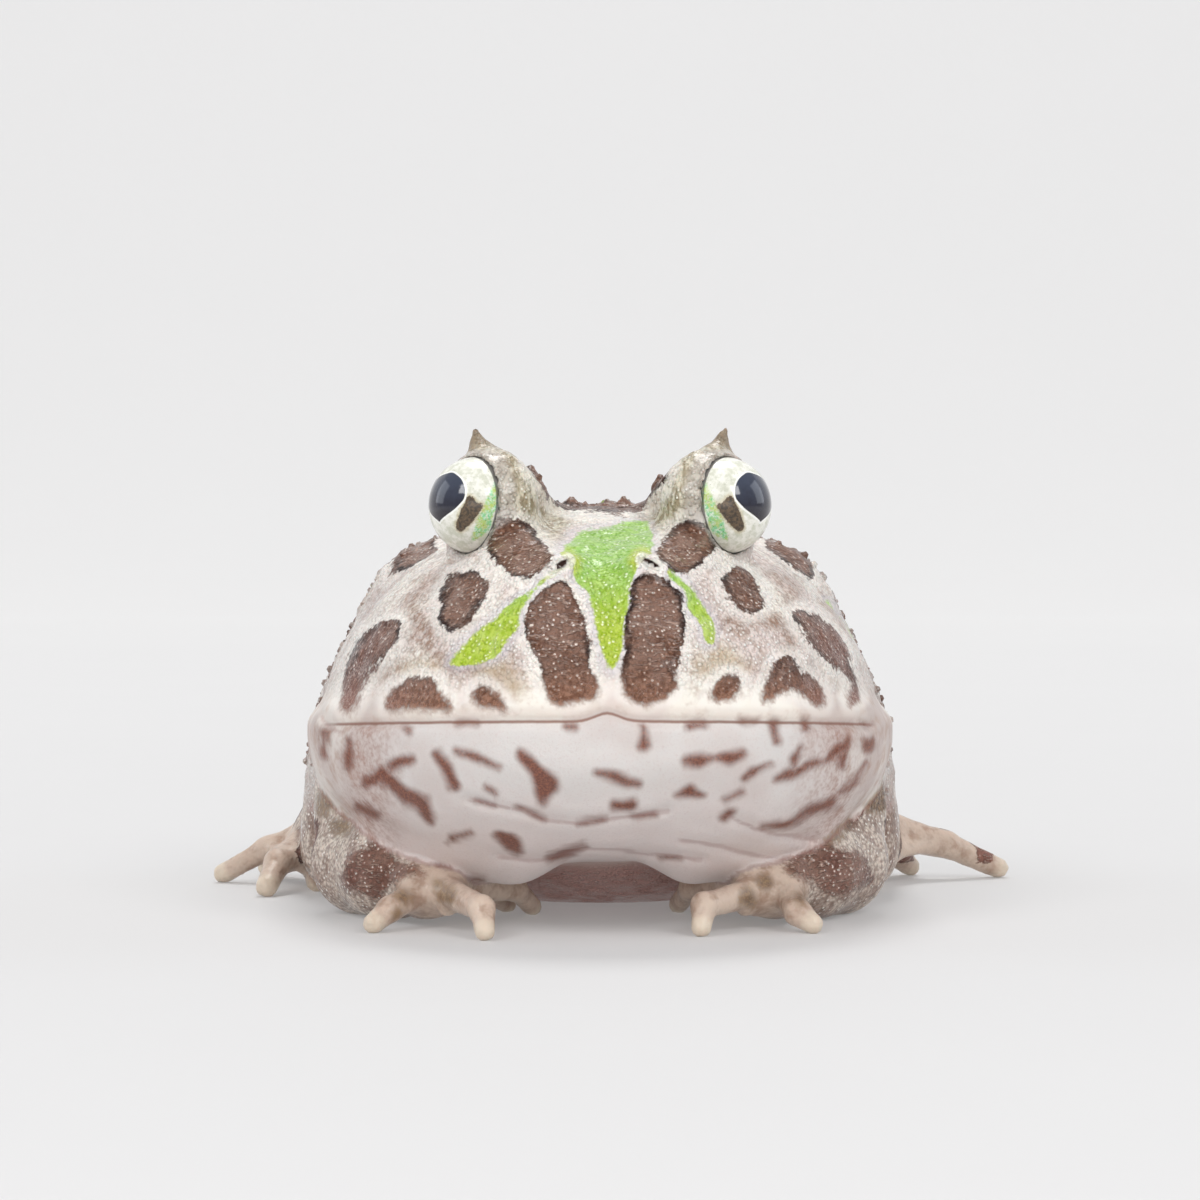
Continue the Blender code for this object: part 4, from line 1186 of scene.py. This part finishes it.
    # Painted shade along the lids' edges where they meet the eyeball.
    lid_edge_shade = 1.0 - lid.between(0.0, 0.14)
    skin = skin.painted(lid_edge_shade * 0.5, 96, 84, 84)
    skin = skin.painted(slit.between(-0.9, -0.4) * 0.75, 238, 234, 226)
    # Painted shade in the nostrils' slits.
    skin = skin.painted(slit.between(-0.12, 0.12), 60, 36, 30)
    # Fingertips; the chest under the throat, darker and redder, partly its own tone and partly painted shade;
    # the arms' dots; and painted shade where the limbs join the body.
    tips = look.carried("tips")
    skin = skin.painted(limbs * tips.between(0.45, 1.0) * 0.5, 232, 221, 200)
    # The chest's colour: partly its own brownish tone, partly painted shade of its hollow.
    hollow = look.mix(fine, colour(172, 122, 114), colour(200, 158, 150))
    skin = look.mix(look.carried("chest") * 0.85, skin, hollow)
    smudge = uneven("smudge", 1.4, -1.1, 0.5) * 0.8
    skin = look.mix(smudge, skin, fine.tones(0.35, 0.65, (88, 64, 44), (146, 120, 88)))
    # Painted shade in the joins between the limbs and the body.
    join_shade = limbs * (1.0 - limbs) * 4.0 * (1.0 - back)
    skin = skin.painted(join_shade * 0.45, 138, 86, 76)
    look.set("Base Color", skin)

    # Damp gloss and the relief of the grain.
    wet = medium.between(0.38, 0.62)
    look.set("Roughness", 0.5 - wet * rough_skin * 0.2 - palms * 0.15)
    look.set("Coat Weight", 0.08 + rough_skin * wet * (0.55 - inside * 0.25))
    look.set("Coat Roughness", 0.08)
    look.set("Specular IOR Level", 0.2)
    look.set("Subsurface Weight", 0.1)
    look.set("Subsurface Radius", (1.0, 0.45, 0.35))
    look.set("Subsurface Scale", 0.001)
    grains = dome * 0.75 * (1.0 - limbs * 0.5) + (1.0 - (pebble * 1.2).least(1.0)) * back * 0.6
    height = (grains + fine * 0.4) * rough_skin + crest * inside * crust * 0.9 - lines * inside * 0.3
    fold = look.cloud(1.6, 4.0, 0.55, 0.6)
    look.set("Normal", look.relief(height + fold * calm * 0.3 + dust * 0.12, 0.3))
    return look.material


def eye_look():
    """Silver iris with dark specks, dark pupil with a painted reflection in its upper part, painted shade at
    the lids' edge, and a wet clear coat.
    """
    look = Look("frog_eye")
    pupil, spot, lime, edge = map(look.carried, ("pupil", "spot", "lime", "edge"))
    medium = look.cloud(0.9, 3.0, 0.6)
    fine = look.cloud(0.3, 3.0, 0.7)
    speck = look.cells(0.34)
    silver = medium.tones(0.35, 0.65, (242, 241, 232), (210, 211, 194))
    silver = silver.painted(fine.between(0.5, 0.72) * 0.3, 184, 186, 166)
    silver = silver.painted((1.0 - speck.between(0.05, 0.14)) * fine.between(0.36, 0.52) * 0.8, 70, 66, 48)
    leaf = (lime + (fine - 0.5) * 0.5).between(-0.2, 0.25)
    leaf = leaf * (0.3 + fine.between(0.38, 0.55) * 0.7)
    silver = look.mix(leaf, silver, medium.tones(0.4, 0.6, (132, 206, 150), (184, 206, 112)))
    silver = silver.painted(leaf * (1.0 - speck.between(0.08, 0.2)), 64, 62, 40)
    near_spot = (spot + (fine - 0.5) * 0.5).between(-0.45, 0.0)
    silver = silver.painted(near_spot * 0.5, 180, 160, 104)
    patch = (spot + (fine - 0.5) * 0.5).between(-0.07, 0.1)
    brown = fine.tones(0.38, 0.62, (40, 28, 20), (94, 72, 48))
    silver = look.mix(patch * 0.96, silver, brown)
    rim = (pupil + 0.12).size().between(0.16, 0.05)
    silver = silver.painted(rim * 0.85, 250, 250, 246)
    hole = pupil.between(-0.02, 0.04)
    # Painted reflection: the pupil turns blue-grey towards its top.
    apart = look.node("ShaderNodeSeparateXYZ", {}, {0: look.place}, 2)
    sheen = (apart + (medium - 0.5) * 2.0).between(EYE_LEVEL - 2.5, EYE_LEVEL + 3.5)
    iris = look.mix(hole, silver, look.mix(sheen, colour(30, 20, 28), colour(62, 68, 84)))
    # Painted shade on the eyeball along the lids' edge.
    border = 1.0 - (edge + (fine - 0.5) * 0.08).between(0.0, 0.1)
    look.set("Base Color", look.mix(border * 0.8, iris, colour(72, 66, 70)))
    look.set("Roughness", 0.4 - hole * 0.3)
    look.set("Coat Weight", 0.8)
    look.set("Coat Roughness", 0.1)
    look.set("Coat IOR", 1.38)
    look.set("Specular IOR Level", 0.3)
    return look.material


# How much the floor glows under the frog, and from 1.3 metres away from it on.
FLOOR_GLOW = (0.175, 0.475)


def floor_look():
    """Matt pale studio floor and backdrop, with a faint even glow that keeps it one tone."""
    look = Look("studio_floor")
    cloud = look.cloud(60.0, 4.0, 0.6)
    look.set("Base Color", look.mix(cloud, colour(187, 186, 186), colour(189, 188, 188)))
    apart = look.node("ShaderNodeVectorMath", {"operation": "LENGTH"}, {0: look.place}, 1)
    near, far = ((value, value, value, 1.0) for value in FLOOR_GLOW)
    glow = look.mix((apart * MM).between(0.0, 1.3), near, far)
    look.set("Emission Color", glow)
    look.set("Emission Strength", 1.0)
    look.set("Roughness", 0.7)
    look.set("Specular IOR Level", 0.2)
    return look.material


# Pieces


def make_mesh(name, points, faces, look, carried):
    """A smooth mesh from places in millimetres, with numbers carried at its corners."""
    mesh = bpy.data.meshes.new(name)
    places = (points - (ORIGIN_X, ORIGIN_Y, 0.0)) * MM
    mesh.from_pydata(places.tolist(), [], faces)
    for word, values in carried.items():
        layer = mesh.attributes.new(word, "FLOAT", "POINT")
        layer.data.foreach_set("value", np.ascontiguousarray(values, np.float32))
    mesh.materials.append(look)
    mesh.shade_smooth()
    piece = bpy.data.objects.new(name, mesh)
    bpy.context.scene.collection.objects.link(piece)
    return piece


def relief(points, carried):
    """How far the skin's lumps stand out, in millimetres."""
    rough_skin = (1.0 - carried["calm"]) * (1.0 - 0.7 * carried["limb"])
    rough_skin = rough_skin * step(carried["lid"], 0.4, 1.6)
    lumps = np.array([noise.noise(Vector(row)) for row in points * 0.42])
    small = np.array([noise.noise(Vector(row)) for row in points * 0.95 + 7.0])
    edge = bump(carried["blotch"], 0.2, 0.6)
    out = rough_skin * (0.2 * lumps + 0.12 * small + 0.14 * edge)
    out = out + carried["warty"] * 0.8 * carried["wart"] ** 1.4
    return out * step(points[:, 2], 0.3, 1.5)


def skin(look):
    """One whole skin for the head, body and limbs."""
    points, quads = skin_surface()
    normals = corner_normals(points, quads)
    carried = markings(points, normals)
    carried["wart"] = np.maximum(wart_tops(points, 4.0, 0.42), 0.55 * wart_tops(points + 9.0, 2.2, 0.42))
    points = points + normals * relief(points, carried)[:, None]
    return make_mesh("skin", points, quads.tolist(), look, carried)


# The scattered warts, in metres, and the most of them on a square metre.
WART_SPACING = 0.0019
WART_RADIUS = 0.0006
WART_HEIGHT = 0.0006
WART_DENSITY = 400000.0


def warts_tree(look):
    """A geometry tree that scatters small blunt cones where the skin is warty."""
    tree = bpy.data.node_groups.new("warts", "GeometryNodeTree")
    for name, way, kind in (
        ("Skin", "INPUT", "Geometry"), ("Spacing", "INPUT", "Float"), ("Wart radius", "INPUT", "Float"),
        ("Seed", "INPUT", "Int"), ("Warts", "OUTPUT", "Geometry"),
    ):
        tree.interface.new_socket(name, in_out=way, socket_type="NodeSocket" + kind)
    made = {}
    for word, kind in {
        "start": "NodeGroupInput", "end": "NodeGroupOutput", "where": "GeometryNodeInputNamedAttribute",
        "spread": "GeometryNodeDistributePointsOnFaces", "cone": "GeometryNodeMeshCone",
        "sink": "GeometryNodeTransform", "size": "FunctionNodeRandomValue",
        "place": "GeometryNodeInstanceOnPoints", "real": "GeometryNodeRealizeInstances",
        "coat": "GeometryNodeSetMaterial", "swell": "ShaderNodeMath",
    }.items():
        made[word] = tree.nodes.new(kind)
    for word, name, value in (
        ("where", "data_type", "FLOAT"), ("spread", "distribute_method", "POISSON"),
        ("size", "data_type", "FLOAT"), ("swell", "operation", "POWER"),
    ):
        setattr(made[word], name, value)
    for word, entry, value in (
        ("where", "Name", "warty"), ("spread", "Density Max", WART_DENSITY),
        ("cone", "Vertices", 10), ("cone", "Side Segments", 3), ("cone", "Radius Top", 0.22 * MM),
        ("cone", "Depth", WART_HEIGHT), ("sink", "Translation", (0.0, 0.0, -0.2 * MM)),
        ("size", 2, 0.45), ("size", 3, 1.15), ("coat", "Material", look), ("swell", 1, 1.6),
    ):
        made[word].inputs[entry].default_value = value
    for one, output, other, entry in (
        ("start", "Skin", "spread", "Mesh"), ("start", "Spacing", "spread", "Distance Min"),
        ("start", "Seed", "spread", "Seed"), ("start", "Seed", "size", "Seed"),
        ("start", "Wart radius", "cone", "Radius Bottom"), ("where", "Attribute", "spread", "Density Factor"),
        ("cone", "Mesh", "sink", "Geometry"), ("sink", "Geometry", "place", "Instance"),
        ("spread", "Points", "place", "Points"), ("spread", "Rotation", "place", "Rotation"),
        ("size", 1, "swell", 0), ("swell", 0, "place", "Scale"), ("place", "Instances", "real", "Geometry"),
        ("real", "Geometry", "coat", "Geometry"), ("coat", "Geometry", "end", "Warts"),
    ):
        tree.links.new(made[one].outputs[output], made[other].inputs[entry])
    return tree


def warts(hide, look):
    """Small blunt warts on the back, the flanks and the brow, marked as the skin under them is."""
    tree = warts_tree(look)
    grown = hide.modifiers.new("warts", "NODES")
    grown.node_group = tree
    values = {"Spacing": WART_SPACING, "Wart radius": WART_RADIUS, "Seed": SEED}
    for item in tree.interface.items_tree:
        if item.in_out == "INPUT" and item.name in values:
            grown[item.identifier] = values[item.name]
    bpy.context.view_layer.update()
    graph = bpy.context.evaluated_depsgraph_get()
    mesh = bpy.data.meshes.new_from_object(hide.evaluated_get(graph))
    hide.modifiers.clear()
    count = len(mesh.vertices)
    places = np.empty(count * 3)
    mesh.vertices.foreach_get("co", places)
    points = places.reshape(-1, 3) / MM + (ORIGIN_X, ORIGIN_Y, 0.0)
    turned = np.empty(count * 3)
    mesh.vertices.foreach_get("normal", turned)
    faces = [tuple(face.vertices) for face in mesh.polygons]
    bpy.data.meshes.remove(mesh)
    carried = markings(points, turned.reshape(-1, 3))
    carried["wart"] = np.full(len(points), 0.8)
    return make_mesh("warts", points, faces, look, carried)


def eye(side, word, look):
    """One eye, its iris and pupil laid out around where it looks."""
    rings = 64
    turns = 96
    v = np.linspace(0.0, math.pi, rings + 1)[1:-1]
    u = np.linspace(0.0, 2.0 * math.pi, turns, endpoint=False)
    vv, uu = np.meshgrid(v, u, indexing="ij")
    rows = np.stack([np.sin(vv) * np.cos(uu), np.sin(vv) * np.sin(uu), np.cos(vv)], -1).reshape(-1, 3)
    rows = np.concatenate([rows, [[0, 0, 1.0], [0, 0, -1.0]]])
    faces = []
    for i in range(rings - 2):
        for j in range(turns):
            k = (j + 1) % turns
            faces.append((i * turns + j, (i + 1) * turns + j, (i + 1) * turns + k, i * turns + k))
    top = len(rows) - 2
    for j in range(turns):
        k = (j + 1) % turns
        faces.append((top, j, k))
        faces.append((top + 1, (rings - 2) * turns + k, (rings - 2) * turns + j))
    x = rows[:, 0] * side
    y = rows[:, 1]
    z = rows[:, 2]
    turn = np.degrees(np.arctan2(x, -y))
    rise = np.degrees(np.arcsin(np.clip(z, -1, 1)))
    axis = np.array(LID_AXIS) / np.linalg.norm(LID_AXIS)
    open_way = np.degrees(np.arccos(np.clip(rows @ (axis * (side, 1, 1)), -1, 1)))
    degree = EYE_RADIUS * math.pi / 180.0
    carried = {"edge": (LID_OPENING - open_way) * degree}
    for name, outline in (("pupil", PUPIL), ("spot", EYE_SPOT), ("lime", EYE_LIME)):
        carried[name] = inside_outline(turn, rise, outline, 40.0) * degree
    centre = np.array([side * EYE_SIDE, EYE_DEPTH, EYE_LEVEL])
    return make_mesh("eye_ball_" + word, rows * EYE_RADIUS + centre, faces, look, carried)


def studio_floor(look):
    """A floor that curves up far behind into a plain backdrop."""
    rows = [(-6.0, 0.0), (-1.6, 0.0), (-0.4, 0.0), (0.5, 0.0), (1.1, 0.0)]
    rows += [(1.1 + 0.5 * math.sin(a), 0.5 - 0.5 * math.cos(a)) for a in np.linspace(0.1, 1.57, 14)]
    rows += [(1.6, 2.0)]
    corners = [(x, y, z) for y, z in rows for x in (-6.0, 6.0)]
    faces = [(2 * i, 2 * i + 1, 2 * i + 3, 2 * i + 2) for i in range(len(rows) - 1)]
    mesh = bpy.data.meshes.new("floor")
    mesh.from_pydata(corners, [], faces)
    mesh.materials.append(look)
    mesh.shade_smooth()
    piece = bpy.data.objects.new("floor", mesh)
    bpy.context.scene.collection.objects.link(piece)


WORLD_STRENGTH = 0.36
WHITE = (1.0, 1.0, 1.0)
COOL = (0.86, 0.92, 1.0)
# The lights: name, place and aim in metres, width and height, power in watts, and tint.
LIGHTS = [
    ("left_key", (-0.55, -0.75, 0.75), (0.0, -0.02, 0.03), (0.4, 0.4), 4.1, WHITE),
    ("right_key", (0.5, -0.8, 0.7), (0.0, -0.02, 0.03), (0.4, 0.4), 4.1, WHITE),
    ("top_light", (0.0, 0.35, 0.9), (0.0, 0.0, 0.03), (0.4, 0.4), 4.0, WHITE),
    ("front_fill", (0.0, -1.2, 0.16), (0.0, 0.0, 0.02), (1.0, 0.3), 2.2, WHITE),
    ("left_side", (-0.95, 0.15, 0.4), (0.0, 0.0, 0.04), (0.5, 0.6), 1.5, COOL),
    ("right_side", (0.95, 0.15, 0.4), (0.0, 0.0, 0.04), (0.5, 0.6), 1.5, COOL),
]


def softbox(name, place, aim, size, power, tint):
    """A soft rectangular light."""
    light = bpy.data.lights.new(name, "AREA")
    light.shape = "RECTANGLE"
    light.size, light.size_y = size
    light.energy = power
    light.color = tint
    lamp = bpy.data.objects.new(name, light)
    lamp.location = place
    lamp.rotation_euler = (Vector(aim) - Vector(place)).to_track_quat("-Z", "Y").to_euler()
    bpy.context.scene.collection.objects.link(lamp)


def studio():
    """Even white surroundings, soft lights and the camera."""
    world = bpy.data.worlds.new("studio")
    world.use_nodes = True
    back = world.node_tree.nodes["Background"]
    back.inputs["Color"].default_value = (*WHITE, 1.0)
    back.inputs["Strength"].default_value = WORLD_STRENGTH
    bpy.context.scene.world = world
    for row in LIGHTS:
        softbox(*row)
    seen_by = bpy.data.cameras.new("camera")
    seen_by.lens = LENS
    seen_by.sensor_width = SENSOR_WIDTH
    seen_by.clip_start = 0.01
    camera = bpy.data.objects.new("camera", seen_by)
    camera.location = (-ORIGIN_X * MM, (-VIEW_FAR - ORIGIN_Y) * MM, VIEW_HIGH * MM)
    camera.rotation_euler = (math.radians(90.0 - VIEW_DOWN), 0.0, 0.0)
    bpy.context.scene.collection.objects.link(camera)
    bpy.context.scene.camera = camera
    bpy.context.scene.view_settings.view_transform = "Standard"


def make():
    """Make the whole scene."""
    coat = skin_look()
    glass = eye_look()
    hide = skin(coat)
    flesh = ["head", "lower_jaw", "torso", "horn_left", "horn_right"] + [row[0] for row in LIMBS]
    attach(hide, "root")
    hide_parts(*flesh)
    bumps = warts(hide, coat)
    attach(bumps, "root")
    for side, word in SIDES:
        ball_piece = eye(side, word, glass)
        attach(ball_piece, "root")
        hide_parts("eye_" + word)
    studio_floor(floor_look())
    studio()


make()
bpy.context.view_layer.update()
